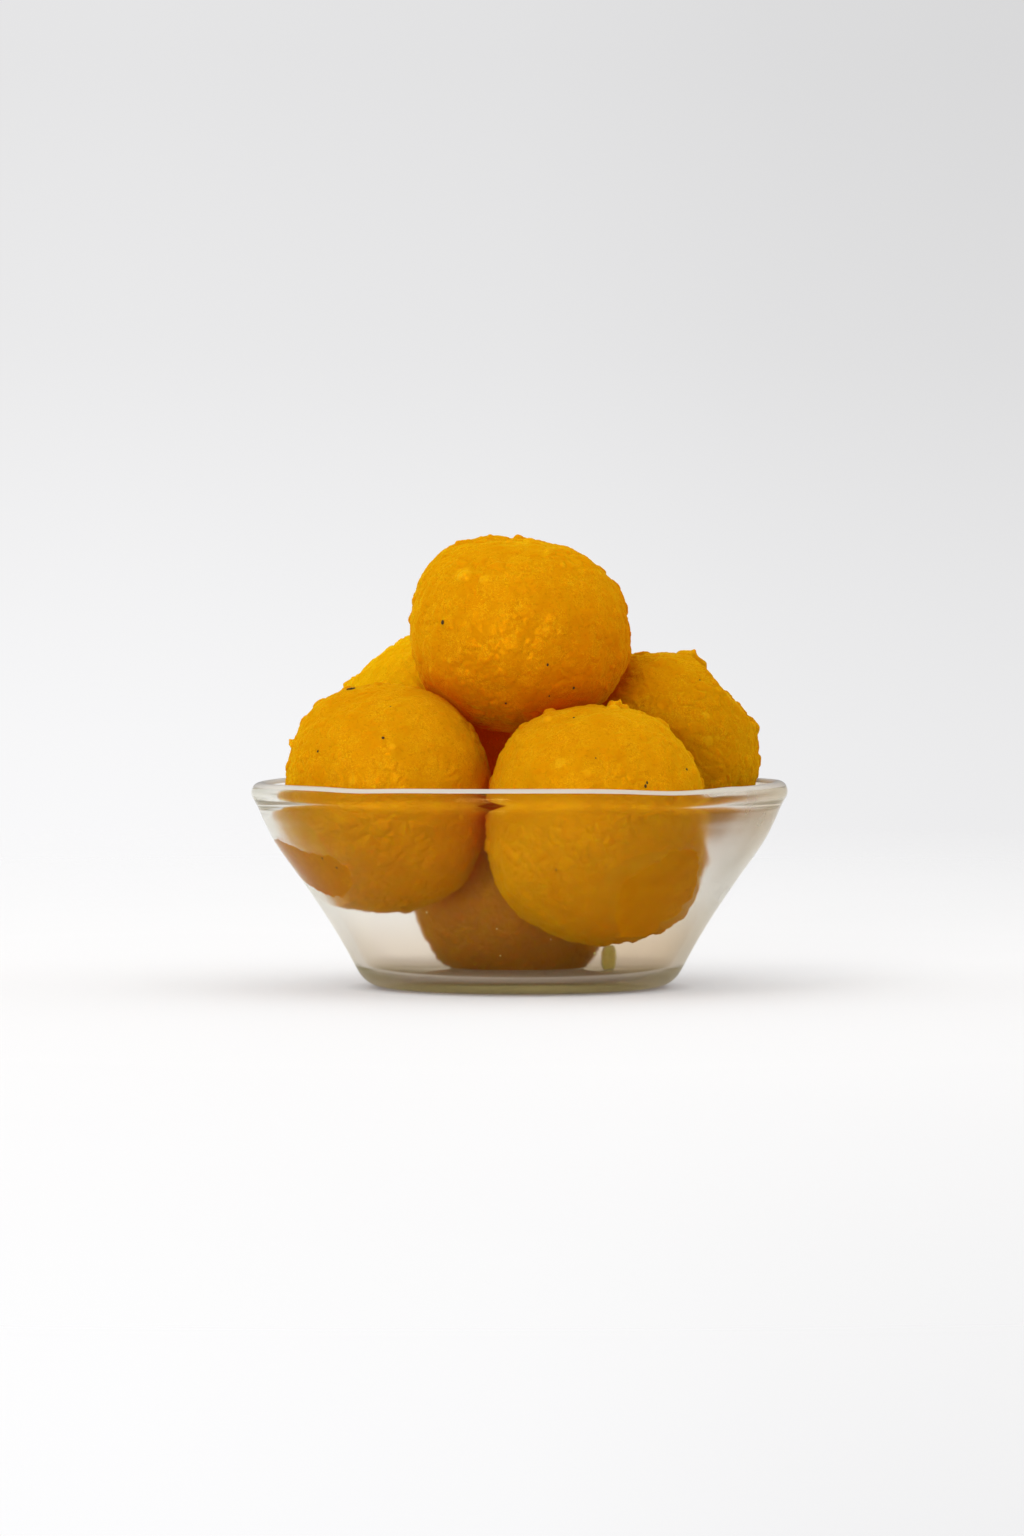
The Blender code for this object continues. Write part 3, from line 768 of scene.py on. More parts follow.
def glass_material(settings, name, tint):
    """Clear pressed glass, clouded by the film attribute and tinted by the foot attribute."""
    material, tree, shader = new_material(name)
    coordinates = add_node(tree, "ShaderNodeTexCoord", (-900, 0))
    waves = add_node(tree, "ShaderNodeTexNoise", (-700, 0), Scale=110.0, Detail=1.0)
    tree.links.new(coordinates.outputs["Object"], waves.inputs["Vector"])
    roughen(tree, shader, waves.outputs["Fac"], 0.15 * MM, 0.25)
    film = read_mask(tree, (-700, 300), "film")
    foot = read_mask(tree, (-700, 500), "foot")
    fill_sockets(
        tree, shader,
        # The foot mask tints the glass: partly syrup, partly painted shade and painted reflection of the
        # ladoos.
        Base_Color=mix_colour(tree, (-300, 500), foot, tint, settings.stain_and_shade_tint),
        Roughness=remap(tree, (-300, 200), film, 0.0, 1.0, settings.roughness, settings.film),
        Transmission_Weight=1.0,
        Specular_Tint=(*settings.gloss, 1.0),
        IOR=settings.bend,
        Thin_Film_Thickness=settings.grease,
        Thin_Film_IOR=FILM_IOR,
    )
    depth = add_node(tree, "ShaderNodeVolumeAbsorption", (0, -300), Density=settings.depth)
    depth.inputs["Color"].default_value = (*settings.depth_tint, 1.0)
    tree.links.new(depth.outputs[0], tree.nodes["Material Output"].inputs["Volume"])
    return material


def rim_highlight_material(settings):
    """The same glass made whiter and less clear on top of the rim: a painted highlight."""
    material = glass_material(settings, "rim_highlight_glass", settings.rim_highlight_tint)
    shader = material.node_tree.nodes["Principled BSDF"]
    for link in shader.inputs["Roughness"].links:
        material.node_tree.links.remove(link)
    fill_sockets(
        material.node_tree, shader, Roughness=RIM_HIGHLIGHT_ROUGHNESS,
        Specular_Tint=(1.0, 1.0, 1.0, 1.0), Transmission_Weight=settings.rim_highlight_clearness,
    )
    return material


# ---------------------------------------------------------------- the bowl's form


def station_slopes():
    heights, radii = WALL_STATIONS.T
    below = np.maximum(np.arange(len(heights)) - 1, 0)
    above = np.minimum(np.arange(len(heights)) + 1, len(heights) - 1)
    return (radii[above] - radii[below]) / (heights[above] - heights[below])


STATION_SLOPES = station_slopes()


def outer_radius(heights):
    """Radius of the outer wall: a smooth curve through the stations."""
    stations, radii = WALL_STATIONS.T
    heights = np.clip(heights, stations[0], stations[-1])
    index = np.clip(np.searchsorted(stations, heights) - 1, 0, len(stations) - 2)
    span = stations[index + 1] - stations[index]
    t = (heights - stations[index]) / span
    return (
        radii[index] * (1 + 2 * t) * (1 - t) ** 2
        + radii[index + 1] * t * t * (3 - 2 * t)
        + span * STATION_SLOPES[index] * t * (1 - t) ** 2
        + span * STATION_SLOPES[index + 1] * t * t * (t - 1)
    )


def wall_slope(heights):
    step = 0.2 * MM
    low = np.maximum(heights - step, WALL_STATIONS[0, 0])
    high = np.minimum(heights + step, WALL_STATIONS[-1, 0])
    return (outer_radius(high) - outer_radius(low)) / (high - low)


def inner_radius(heights, wall=2.4 * MM):
    return outer_radius(heights) - wall * np.hypot(1.0, wall_slope(heights))


def rounded_corner(flat_height, rise, wall_at, steps=14):
    """Arc from a level surface up to a wall that it meets smoothly, as (radius, height)."""
    top = flat_height + rise
    turn = math.atan2(1.0, float(wall_slope(np.array(top))))
    corner = rise / (1.0 - math.cos(turn))
    start = float(wall_at(np.array(top))) - corner * math.sin(turn)
    angles = turn * np.arange(steps + 1) / steps
    return np.stack((start + corner * np.sin(angles), flat_height + corner * (1.0 - np.cos(angles))), axis=1)


def bead_section(steps=30):
    angles = np.radians(np.linspace(BEAD_FIRST_ANGLE, BEAD_LAST_ANGLE, steps + 1))
    radii = BEAD_CENTRE_RADIUS + BEAD_HALF_WIDTH * np.cos(angles)
    heights = BOWL_HEIGHT - BEAD_HALF_HEIGHT + BEAD_HALF_HEIGHT * np.sin(angles)
    return np.stack((radii, heights), axis=1)


def wall_section(wall_at, low, high, steps=48):
    heights = low + (high - low) * np.arange(1, steps + 1) / steps
    return np.stack((wall_at(heights), heights), axis=1)


def level_section(end, height):
    """Rings across a level disc, close together where it meets its rounded edge."""
    radii = np.array((0.0, 0.5, 0.9, 0.985)) * end
    return np.stack((radii, np.full(4, height)), axis=1)


def bowl_section():
    """Half the bowl's section, from the floor's centre round to the foot's centre."""
    under_bead = BOWL_HEIGHT - 2.0 * BEAD_HALF_HEIGHT
    fillet = rounded_corner(FLOOR_THICKNESS, FILLET_HEIGHT, inner_radius)
    corner = rounded_corner(0.0, CORNER_HEIGHT, outer_radius)
    return np.concatenate((
        level_section(fillet[0, 0], FLOOR_THICKNESS),
        fillet,
        wall_section(inner_radius, FLOOR_THICKNESS + FILLET_HEIGHT, under_bead),
        bead_section(),
        wall_section(outer_radius, CORNER_HEIGHT, WALL_STATIONS[-1, 0] - 0.3 * MM)[::-1],
        corner[::-1],
        level_section(corner[0, 0], 0.0)[::-1],
    ))


def rim_rise(azimuths, wave):
    rise = wave * (0.6 * np.sin(3 * azimuths + 0.9) + 0.4 * np.sin(5 * azimuths + 2.1))
    for centre, depth, width in RIM_DIPS:
        away = (np.degrees(azimuths) - centre + 180.0) % 360.0 - 180.0
        rise = rise - depth * np.exp(-((away / width) ** 2))
    return rise


def glass_inner_radius(points, settings):
    """Radius of the glass's inner wall beside each point, with the rim's waves."""
    azimuths = np.arctan2(points[:, 1], points[:, 0])
    lift = rim_rise(azimuths, settings.rim_wave) * (points[:, 2] / BOWL_HEIGHT) ** 3
    return inner_radius(points[:, 2] - lift, settings.wall)


def clouding(points, radii, outside):
    """Where the glass is clouded: a film of syrup inside, thicker at the right, and a worn foot."""
    across, heights = points[:, 0], points[:, 2]
    facing_in = np.where(heights > 36.0 * MM, radii < BEAD_CENTRE_RADIUS - MM, ~outside)
    to_right = smooth_step(across, 24.0 * MM, 40.0 * MM)
    to_left = smooth_step(-across, 26.0 * MM, 44.0 * MM)
    film = FILM_LEAST + FILM_RIGHT * to_right + FILM_LEFT * to_left
    film = film * (1.0 + 0.25 * noise_at(points, 8.0 * MM))
    worn = FOOT_WEAR * (1.0 - smooth_step(heights, 1.2 * MM, 3.0 * MM))
    return np.maximum(np.where(facing_in & (heights > FLOOR_THICKNESS - 0.1 * MM), film, 0.0), worn)


def stain_and_shade(points):
    """How far the foot tint colours the glass: fully at the foot, less up the wall and at the right. It is
    partly syrup and thickness, partly painted shade and painted reflection of the ladoos.
    """
    across, heights = points[:, 0], points[:, 2]
    foot = 1.0 - smooth_step(heights, 2.0 * MM, 6.0 * MM)
    lower = 0.6 * (1.0 - smooth_step(heights, 4.0 * MM, 22.0 * MM))
    right = 0.2 * smooth_step(across, 5.0 * MM, 40.0 * MM)
    right = right + 0.7 * smooth_step(across, 42.0 * MM, 54.0 * MM)
    low = 1.0 - smooth_step(heights, 8.0 * MM, 24.0 * MM)
    low_right = 0.9 * smooth_step(across, -5.0 * MM, 20.0 * MM) * low
    return np.maximum(np.maximum(foot, lower), np.maximum(right, low_right))


def chipped(points):
    """Where the rim's front right edge is chipped, from 0 to 1."""
    azimuths = np.degrees(np.arctan2(points[:, 1], points[:, 0]))
    along = np.abs(azimuths - CHIP_AZIMUTH) / CHIP_SPREAD
    up = np.abs(points[:, 2] - CHIP_HEIGHT) / CHIP_TALL
    away = np.hypot(along, up) + 0.5 * noise_at(points, 0.9 * MM)
    return 1.0 - smooth_step(away, 0.6, 0.9)


def make_glass_bowl(settings):
    """Draw the bowl's half section and turn it about the axis."""
    section = bowl_section()
    deselect_all()
    bpy.ops.mesh.primitive_circle_add(vertices=len(section), radius=BEAD_CENTRE_RADIUS, fill_type="NOTHING")
    bowl = name_piece(bpy.context.object, "glass_bowl")
    write_points(bowl, np.stack((section[:, 0], np.zeros(len(section)), section[:, 1]), axis=1))

    def drop_axis_edge():
        """The edge along the axis closes the drawn section, and is taken out."""
        bpy.ops.mesh.select_all(action="DESELECT")
        bpy.ops.object.mode_set(mode="OBJECT")
        for edge in bowl.data.edges:
            ends = [bowl.data.vertices[index].co for index in edge.vertices]
            edge.select = all(abs(end.x) < 0.001 * MM for end in ends)
        bpy.ops.object.mode_set(mode="EDIT")
        bpy.ops.mesh.select_mode(type="EDGE")
        bpy.ops.mesh.delete(type="EDGE")
        bpy.ops.mesh.select_mode(type="VERT")
        bpy.ops.mesh.select_all(action="SELECT")

    in_edit_mode(
        bowl,
        drop_axis_edge,
        lambda: bpy.ops.mesh.spin(
            steps=settings.sides, angle=2.0 * math.pi, center=(0, 0, 0), axis=(0, 0, 1)
        ),
        lambda: bpy.ops.mesh.select_all(action="SELECT"),
        lambda: bpy.ops.mesh.remove_doubles(threshold=0.005 * MM),
        lambda: bpy.ops.mesh.dissolve_degenerate(threshold=0.001 * MM),
        lambda: bpy.ops.mesh.normals_make_consistent(inside=False),
    )
    points = read_points(bowl)
    azimuths = np.arctan2(points[:, 1], points[:, 0])
    radii = np.hypot(points[:, 0], points[:, 1])
    heights = points[:, 2].copy()
    outside = (radii > outer_radius(heights) - 0.4 * MM) & (heights > 0.2 * MM)
    wave = noise_at(points, 11.0 * MM) * smooth_step(heights, 2.0 * MM, 8.0 * MM)
    wave = wave * (1.0 - smooth_step(heights, 36.0 * MM, 38.0 * MM))
    grown = np.where(outside, settings.ripple * (wave - 0.5), 0.0)
    points[:, :2] *= (1.0 + grown / np.maximum(radii, MM))[:, None]
    points[:, 2] += rim_rise(azimuths, settings.rim_wave) * (heights / BOWL_HEIGHT) ** 3
    chips = chipped(points) * outside
    sunk = CHIP_DEPTH + CHIP_ROUGHNESS * noise_at(points, 0.8 * MM)
    points[:, :2] *= (1.0 - chips * sunk / np.maximum(radii, MM))[:, None]
    write_points(bowl, points)
    write_attribute(bowl, "film", np.maximum(clouding(points, radii, outside), chips))
    write_attribute(bowl, "foot", stain_and_shade(points))
    return bowl


def glaze_bowl(bowl, settings):
    """Clear glass, and the same glass with a painted white highlight on top of the rim."""
    finish_piece(bowl, glass_material(settings, "bowl_glass", settings.tint), ["bowl"])
    bowl.data.materials.append(rim_highlight_material(settings))
    points = read_points(bowl)
    heights = points[:, 2] - rim_rise(np.arctan2(points[:, 1], points[:, 0]), settings.rim_wave)
    for face in bowl.data.polygons:
        if heights[list(face.vertices)].min() > RIM_HIGHLIGHT_START:
            face.material_index = 1


# ---------------------------------------------------------------- the ladoos' form


def angle_from(directions, toward):
    return np.arccos(np.clip(directions @ np.array(toward), -1.0, 1.0))


def held_back(distance, directions, toward, limit):
    """Hold a form back at a plane that faces one way."""
    facing = directions @ np.array(toward)
    return np.where(facing > 0.0, np.minimum(distance, limit / np.maximum(facing, 1e-6)), distance)


def pressed_distance(item, directions, squareness):
    """From a ladoo's centre to its broad form, along each unit direction."""
    total = (np.abs(directions / item.radii) ** squareness).sum(axis=1)
    distance = total ** (-1.0 / squareness)
    for rise in item.bumps:
        spread = angle_from(directions, rise.toward) / rise.width
        distance += rise.height * np.exp(-spread * spread)
    for toward, limit in item.flats:
        distance = held_back(distance, directions, toward, limit)
    return distance


def surface_relief(item, points, settings):
    """Height of the lumps, ripples and pressed grains of a ladoo's skin."""
    shift = np.array((1.7, -2.3, 3.1)) * item.seed
    lumps = noise_at(points, LUMP_SIZE, shift)
    ripples = noise_at(points, RIPPLE_SIZE, shift * 1.3)
    nearest = sampled(nearest_cell, points / GRAIN_CELL + shift * 0.7)
    return settings.lumps * lumps + settings.ripples * ripples + settings.grains * (0.45 - nearest)


def fine_relief(item, points, settings):
    """The small grains, wrinkles and nubs that only the finer skin carries."""
    shift = np.array((-3.1, 1.9, 2.3)) * item.seed
    clear = 0.5 + 0.5 * smooth_step(noise_at(points, SMOOTH_AREA_SIZE, shift), -0.25, 0.3)
    shifts = [shift * (0.3 + 0.1 * axis) for axis in range(3)]
    warp = np.stack([noise_at(points, CELL_BEND, moved) for moved in shifts], axis=1)
    grains = sampled(cobble, points / FINE_GRAIN_CELL + shift + 0.28 * warp) - 0.45
    crumbs = sampled(cobble, points / CRUMB_CELL - shift + 0.4 * warp) - 0.45
    wrinkles = settings.crumple * noise_at(points, WRINKLE_SIZE, shift * 0.6)
    relief = clear * (settings.fine_grains * grains + settings.crumbs * crumbs) + wrinkles
    directions = points / np.linalg.norm(points, axis=1)[:, None]
    for raised in item.nubs:
        apart = angle_from(directions, raised.toward) * item.radii.mean()
        relief += raised.height * (1.0 - smooth_step(apart, 0.5 * raised.radius, raised.radius))
    return relief


def contact_planes(item, settings, gap):
    """For each near neighbour, the direction to it and how far off their shared flat is."""
    planes = []
    for other in LADOOS:
        if other is item:
            continue
        offset = other.centre - item.centre
        apart = np.linalg.norm(offset)
        direction = offset / apart
        own = pressed_distance(item, direction[None], settings.squareness)[0]
        others = pressed_distance(other, -direction[None], settings.squareness)[0]
        if apart - own - others < REACH:
            planes.append((direction, (apart + own - others) / 2.0 - gap / 2.0))
    return planes


def room_in_bowl(heights, gap):
    """Largest radius that a ladoo may reach at each height, clear of the glass."""
    wall = inner_radius(np.maximum(heights, FLOOR_THICKNESS + FILLET_HEIGHT)) - gap
    bead = BEAD_CENTRE_RADIUS - BEAD_HALF_WIDTH - gap
    lean = math.hypot(BEAD_HALF_WIDTH + RIM_CLEARANCE, BEAD_HALF_HEIGHT + RIM_CLEARANCE)
    over_rim = BEAD_CENTRE_RADIUS + (heights - (BOWL_HEIGHT - BEAD_HALF_HEIGHT)) - lean
    return np.maximum(np.minimum(wall, bead), over_rim)


FILLET = rounded_corner(FLOOR_THICKNESS, FILLET_HEIGHT, inner_radius)


def fits_bowl(points, gap):
    radii = np.hypot(points[:, 0], points[:, 1])
    lowest = np.interp(radii, FILLET[:, 0], FILLET[:, 1]) + gap
    return (radii <= room_in_bowl(points[:, 2], gap)) & (points[:, 2] >= lowest)


def fitted_distance(item, directions, planes, settings, gap, fine):
    """Distance to the finished skin, and whether each point was held back by a neighbour or the bowl."""
    broad = pressed_distance(item, directions, settings.squareness)
    points = directions * broad[:, None]
    free = broad + surface_relief(item, points, settings)
    if fine:
        free = free + fine_relief(item, points, settings)
    distance = free.copy()
    for toward, limit in planes:
        distance = held_back(distance, directions, toward, limit)
    outside = ~fits_bowl(item.centre + directions * distance[:, None], gap)
    low = np.zeros(outside.sum())
    high = distance[outside]
    for _ in range(HALVINGS):
        middle = (low + high) / 2.0
        fits = fits_bowl(item.centre + directions[outside] * middle[:, None], gap)
        low = np.where(fits, middle, low)
        high = np.where(fits, high, middle)
    distance[outside] = low
    return distance, distance < free - HELD_MARGIN


def place_for_grain(item, toward, radius, planes, settings):
    """The skin's point for a raised grain, or None where a neighbour or the glass is too near."""
    direction = np.array(toward)
    distance, held = fitted_distance(item, direction[None], planes, settings, SOLID_GAP, False)
    if held[0]:
        return None
    point = item.centre + direction * distance[0]
    reach = radius + SOLID_GAP
    tip = point + direction * reach
    for facing, limit in planes:
        if (tip - item.centre) @ facing > limit - reach:
            return None
    beside = math.hypot(tip[0], tip[1]) + reach
    if tip[2] < BOWL_HEIGHT + 2.0 * reach and beside > room_in_bowl(np.array(tip[2] - reach), SOLID_GAP):
        return None
    if tip[2] < np.interp(beside, FILLET[:, 0], FILLET[:, 1]) + SOLID_GAP + reach:
        return None
    return point


def chosen_grains(item):
    """The grains given for the front, then others scattered by a seeded draw."""
    draw = random.Random(item.seed)
    grains = list(item.grains)
    for _ in range(SCATTERED_GRAINS):
        toward = drawn_direction(draw, -0.7, 0.0, math.pi)
        grains.append(Grain(toward, draw.uniform(*SCATTERED_GRAIN_RADIUS)))
    return grains


def raise_grains(item, directions, distance, settings):
    """Let each raised grain stand out of the skin, and mark where one shows."""
    planes = contact_planes(item, settings, SOLID_GAP)
    raised = np.zeros(len(distance))
    for chosen in chosen_grains(item):
        point = place_for_grain(item, chosen.toward, chosen.radius, planes, settings)
        if point is None:
            continue
        middle = point - np.array(chosen.toward) * chosen.radius * GRAIN_SINK
        turn = np.array(chosen.toward.to_track_quat("Z", "Y").to_matrix())
        halves = GRAIN_SHAPE * chosen.radius
        start = (item.centre - middle) @ turn / halves
        along = directions @ turn / halves
        a = (along * along).sum(axis=1)
        b = along @ start
        inside = b * b - a * (start @ start - 1.0)
        far = np.where(inside > 0.0, (np.sqrt(np.maximum(inside, 0.0)) - b) / a, 0.0)
        raised = np.maximum(raised, smooth_step(far - distance, 0.0, 0.1 * MM))
        distance = np.maximum(distance, far)
    return distance, raised


def inside_outline(places, outline):
    """Signed distance of flat points to a closed outline, positive inside."""
    inside = np.zeros(len(places), bool)
    nearest = np.full(len(places), np.inf)
    x, y = places.T
    for (x0, y0), (x1, y1) in zip(outline, np.roll(outline, -1, axis=0)):
        side = np.array((x1 - x0, y1 - y0))
        share = np.clip(((x - x0) * side[0] + (y - y0) * side[1]) / (side @ side), 0.0, 1.0)
        nearest = np.minimum(nearest, np.hypot(x - x0 - share * side[0], y - y0 - share * side[1]))
        if y0 != y1:
            crosses = (y0 > y) != (y1 > y)
            inside ^= crosses & (x < x0 + (y - y0) / (y1 - y0) * (x1 - x0))
    return np.where(inside, nearest, -nearest)


def wet_the_wall(item, points, bowl):
    """Push a ladoo's skin just into the glass where syrup joins the two, and say where that is."""
    outline = WET_PATCHES.get(item.name)
    if outline is None:
        return points, np.zeros(len(points))
    outline = np.array(outline, float)
    round_the_wall = PATCH_RADIUS * math.pi / 180.0
    centre = outline[:, 0].mean()
    azimuths = np.degrees(np.arctan2(points[:, 1], points[:, 0]))
    azimuths = (azimuths - centre + 180.0) % 360.0 - 180.0
    flat_outline = np.stack(((outline[:, 0] - centre) * round_the_wall, outline[:, 1] * MM), axis=1)
    places = np.stack((azimuths * round_the_wall, points[:, 2]), axis=1)
    ragged = noise_at(points, 1.6 * MM) * 0.5 * MM
    depth = inside_outline(places, flat_outline) + ragged
    radii = np.hypot(points[:, 0], points[:, 1])
    gap = glass_inner_radius(points, bowl) - radii
    near = (gap < PATCH_REACH) & (points[:, 2] > PATCH_LOWEST)
    wet = np.where(near, smooth_step(depth, *PATCH_EDGE), 0.0)
    moved = points.copy()
    moved[:, :2] *= (1.0 + wet * (gap + PATCH_DEPTH) / radii)[:, None]
    return moved, wet


def nearness(item, points, settings):
    """How near each point is to another ladoo or to the heap's dark middle, up to 1 where they touch."""
    near = np.zeros(len(points))
    for other in LADOOS:
        if other is item:
            continue
        offset = points - other.centre
        apart = np.linalg.norm(offset, axis=1)
        surface = pressed_distance(other, offset / apart[:, None], settings.squareness)
        near = np.maximum(near, np.exp(-np.maximum(apart - surface, 0.0) / CONTACT_REACH))
    from_middle = np.linalg.norm((points - HEAP_MIDDLE) * HEAP_DEEPER, axis=1)
    return np.maximum(near, 1.0 - smooth_step(from_middle, *HEAP_SHADE))


def make_ladoo(item, settings, bowl):
    """A ladoo's skin: a finely cut ball, shaped by its lumps, its neighbours and the bowl."""
    body = name_piece(add_ball(item.radii.max(), item.centre, 1), item.name + "_skin")
    settle(body)
    cuts = settings.cuts
    in_edit_mode(body, lambda: bpy.ops.mesh.subdivide(number_cuts=cuts))
    directions = read_points(body) - item.centre
    directions /= np.linalg.norm(directions, axis=1)[:, None]
    planes = contact_planes(item, settings, SHOWN_GAP)
    distance, held = fitted_distance(item, directions, planes, settings, SHOWN_GAP, True)
    distance, raised = raise_grains(item, directions, distance, settings)
    pale = GRAIN_PALENESS * raised
    for spot in item.pale:
        apart = angle_from(directions, spot.toward) * distance
        mask = 1.0 - smooth_step(apart, SPOT_EDGE[0] * spot.radius, SPOT_EDGE[1] * spot.radius)
        pale = np.maximum(pale, SPOT_PALENESS * mask)
        distance = distance + np.where(held, 0.0, mask * SPOT_RISE)
    points, wet = wet_the_wall(item, item.centre + directions * distance[:, None], bowl)
    write_points(body, points)
    # Painted shade: the skin is darker on the side turned away from the light.
    facing_light = smooth_step(directions @ np.array(LIGHT_SIDE.normalized()), -0.6, 0.8)
    for name, values in (
        ("pale", pale),
        # Painted shade on the side turned away from the light.
        ("syrup", item.soaked * (1.0 - facing_light)),
        ("wet", wet),
        # Painted shade: the front ladoos darken above the rim.
        ("aired", item.aired * smooth_step(points[:, 2], *UPPER_SHADE_HEIGHTS)),
        # Where painted shade and painted glow go: near another ladoo and in the heap's middle.
        ("contact", nearness(item, points, settings)),
    ):
        write_attribute(body, name, values)
    finish_piece(body, skin_material(item, settings), [item.name])


def make_specks(settings, bowl):
    """Ground cardamom: tiny dark flakes half sunk in the skins."""
    draw = random.Random(4)
    blobs = []
    for item in LADOOS:
        places = [(speck.toward, speck.radius) for speck in item.specks]
        for _ in range(SCATTERED_SPECKS):
            toward = drawn_direction(draw, -0.5, 0.1 * math.pi, 0.9 * math.pi)
            places.append((toward, draw.uniform(*SCATTERED_SPECK_RADIUS) * MM))
        planes = contact_planes(item, settings, SHOWN_GAP)
        for toward, radius in places:
            direction = np.array(toward)
            distance, held = fitted_distance(item, direction[None], planes, settings, SHOWN_GAP, True)
            if held[0] and toward.y > 0.0:
                continue
            point = Vector(wet_the_wall(item, (item.centre + direction * distance[0])[None], bowl)[0][0])
            blob = add_ball(radius, point + toward * radius * 0.1)
            blob.scale = (draw.uniform(0.7, 1.0), draw.uniform(0.9, 1.3), 0.45)
            blob.rotation_mode = "QUATERNION"
            blob.rotation_quaternion = toward.to_track_quat("Z", "Y")
            settle(blob)
            blobs.append(blob)
    finish_piece(join_pieces(blobs, "cardamom_specks"), speck_material(settings))


def make_loose_grain(material):
    """A long grain that has fallen off and stands on the bowl's floor."""
    middle = LOOSE_GRAIN_FOOT + (0.0, 0.0, LOOSE_GRAIN_HALVES[2])
    loose = name_piece(add_ball(LOOSE_GRAIN_HALVES[2], middle, 5), "loose_grain")
    settle(loose)
    directions = read_points(loose) - middle
    directions /= np.linalg.norm(directions, axis=1)[:, None]
    total = (np.abs(directions / LOOSE_GRAIN_HALVES) ** LOOSE_GRAIN_SQUARENESS).sum(axis=1)
    points = directions * (total ** (-1.0 / LOOSE_GRAIN_SQUARENESS))[:, None]
    points *= (1.0 + 0.10 * noise_at(points, 1.3 * MM, 5.0))[:, None]
    points = middle + points
    points[:, 2] = np.maximum(points[:, 2], LOOSE_GRAIN_FOOT[2] + 0.02 * MM)
    write_points(loose, points)
    finish_piece(loose, material)


def make_crumbs(material, bowl):
    """Tiny crumbs that stick to the inside of the glass."""
    draw = random.Random(9)
    blobs = []
    for azimuth, height in CRUMB_PLACES:
        turn = math.radians(azimuth)
        level = height * MM
        radius = draw.uniform(*CRUMB_RADIUS) * MM
        wall = float(inner_radius(np.array(level), bowl.wall)) - radius * 0.7
        blob = add_ball(radius, (wall * math.cos(turn), wall * math.sin(turn), level))
        blob.scale = (draw.uniform(0.8, 1.2), draw.uniform(0.8, 1.2), draw.uniform(0.7, 1.0))
        settle(blob)
        blobs.append(blob)
    finish_piece(join_pieces(blobs, "crumbs_on_glass"), material)


# ---------------------------------------------------------------- the stage


def make_floor(settings):
    """A pale disc that fades into the surroundings. Its glow softens the shadows on it."""
    deselect_all()
    bpy.ops.mesh.primitive_circle_add(
        vertices=96, radius=FLOOR_RADIUS, fill_type="NGON", location=(0.0, 0.0, -FLOOR_DROP)
    )
    floor = name_piece(bpy.context.object, "floor")
    settle(floor)
    in_edit_mode(floor, lambda: bpy.ops.mesh.inset(thickness=0.5 * FLOOR_RADIUS))
    material, tree, shader = new_material("pale_floor")
    coordinates = add_node(tree, "ShaderNodeTexCoord", (-1100, 0))
    mottle = add_node(tree, "ShaderNodeTexNoise", (-800, 200), Scale=9.0, Detail=3.0)
    parts = add_node(tree, "ShaderNodeSeparateXYZ", (-800, 400))
    away = add_node(tree, "ShaderNodeVectorMath", (-800, -200), operation="LENGTH")
    for socket in (mottle.inputs["Vector"], parts.inputs[0], away.inputs[0]):
        tree.links.new(coordinates.outputs["Object"], socket)
    away = away.outputs["Value"]
    dimmer = [value * 0.985 for value in settings.floor]
    tone = mix_colour(tree, (-500, 200), mottle.outputs["Fac"], dimmer, settings.floor)
    # Painted shade: the floor darkens towards the front and the right, where the light falls off.
    near = remap(tree, (-500, 400), parts.outputs["Y"], *FLOOR_TO_FRONT)
    right = remap(tree, (-500, 600), parts.outputs["X"], *FLOOR_TO_RIGHT)
    tone = mix_colour(tree, (-300, 300), 1.0, tone, near, "MULTIPLY")
    past_foot = remap(tree, (-500, -400), away, *FLOOR_PAST_FOOT)
    fill_sockets(
        tree, shader,
        Base_Color=mix_colour(tree, (-150, 300), 1.0, tone, right, "MULTIPLY"),
        Emission_Color=mix_colour(tree, (-300, -400), past_foot, (0.0, 0.0, 0.0), settings.floor_glow),
        Emission_Strength=1.0,
        Roughness=0.9,
        Specular_IOR_Level=0.1,
        Alpha=remap(tree, (-500, -200), away, *FLOOR_FADE, 1.0, 0.0),
    )
    floor.data.materials.append(material)


def make_surroundings(settings):
    """Pale studio surroundings: brighter low down and to the left."""
    world = bpy.data.worlds.new("studio")
    bpy.context.scene.world = world
    world.use_nodes = True
    tree = world.node_tree
    background = tree.nodes["Background"]
    coordinates = add_node(tree, "ShaderNodeTexCoord", (-1300, 0))
    parts = add_node(tree, "ShaderNodeSeparateXYZ", (-1100, 0))
    tree.links.new(coordinates.outputs["Generated"], parts.inputs[0])
    level = value_ramp(tree, (-700, 200), parts.outputs["Z"], LEVELS_UP)
    side = value_ramp(tree, (-700, -150), parts.outputs["X"], LEVELS_ACROSS)
    total = mix_colour(tree, (-400, 100), 1.0, level, side, "MULTIPLY")
    total = mix_colour(tree, (-200, 100), 1.0, total, settings.air, "MULTIPLY")
    tree.links.new(total, background.inputs["Color"])
    background.inputs["Strength"].default_value = settings.fill


def value_ramp(tree, place, value, stops):
    """A smooth curve of grey levels: stops are (value, level)."""
    low, high = stops[0][0], stops[-1][0]
    ramp = add_node(tree, "ShaderNodeValToRGB", place)
    tree.links.new(remap(tree, (place[0] - 200, place[1]), value, low, high, 0.0, 1.0), ramp.inputs["Fac"])
    elements = ramp.color_ramp.elements
    while len(elements) < len(stops):
        elements.new(0.5)
    for element, (at, level) in zip(elements, stops):
        element.position = (at - low) / (high - low)
        element.color = (level, level, level, 1.0)
    return ramp.outputs["Color"]


def aim(piece, target):
    piece.rotation_mode = "QUATERNION"
    piece.rotation_quaternion = (Vector(target) - piece.location).to_track_quat("-Z", "Y")


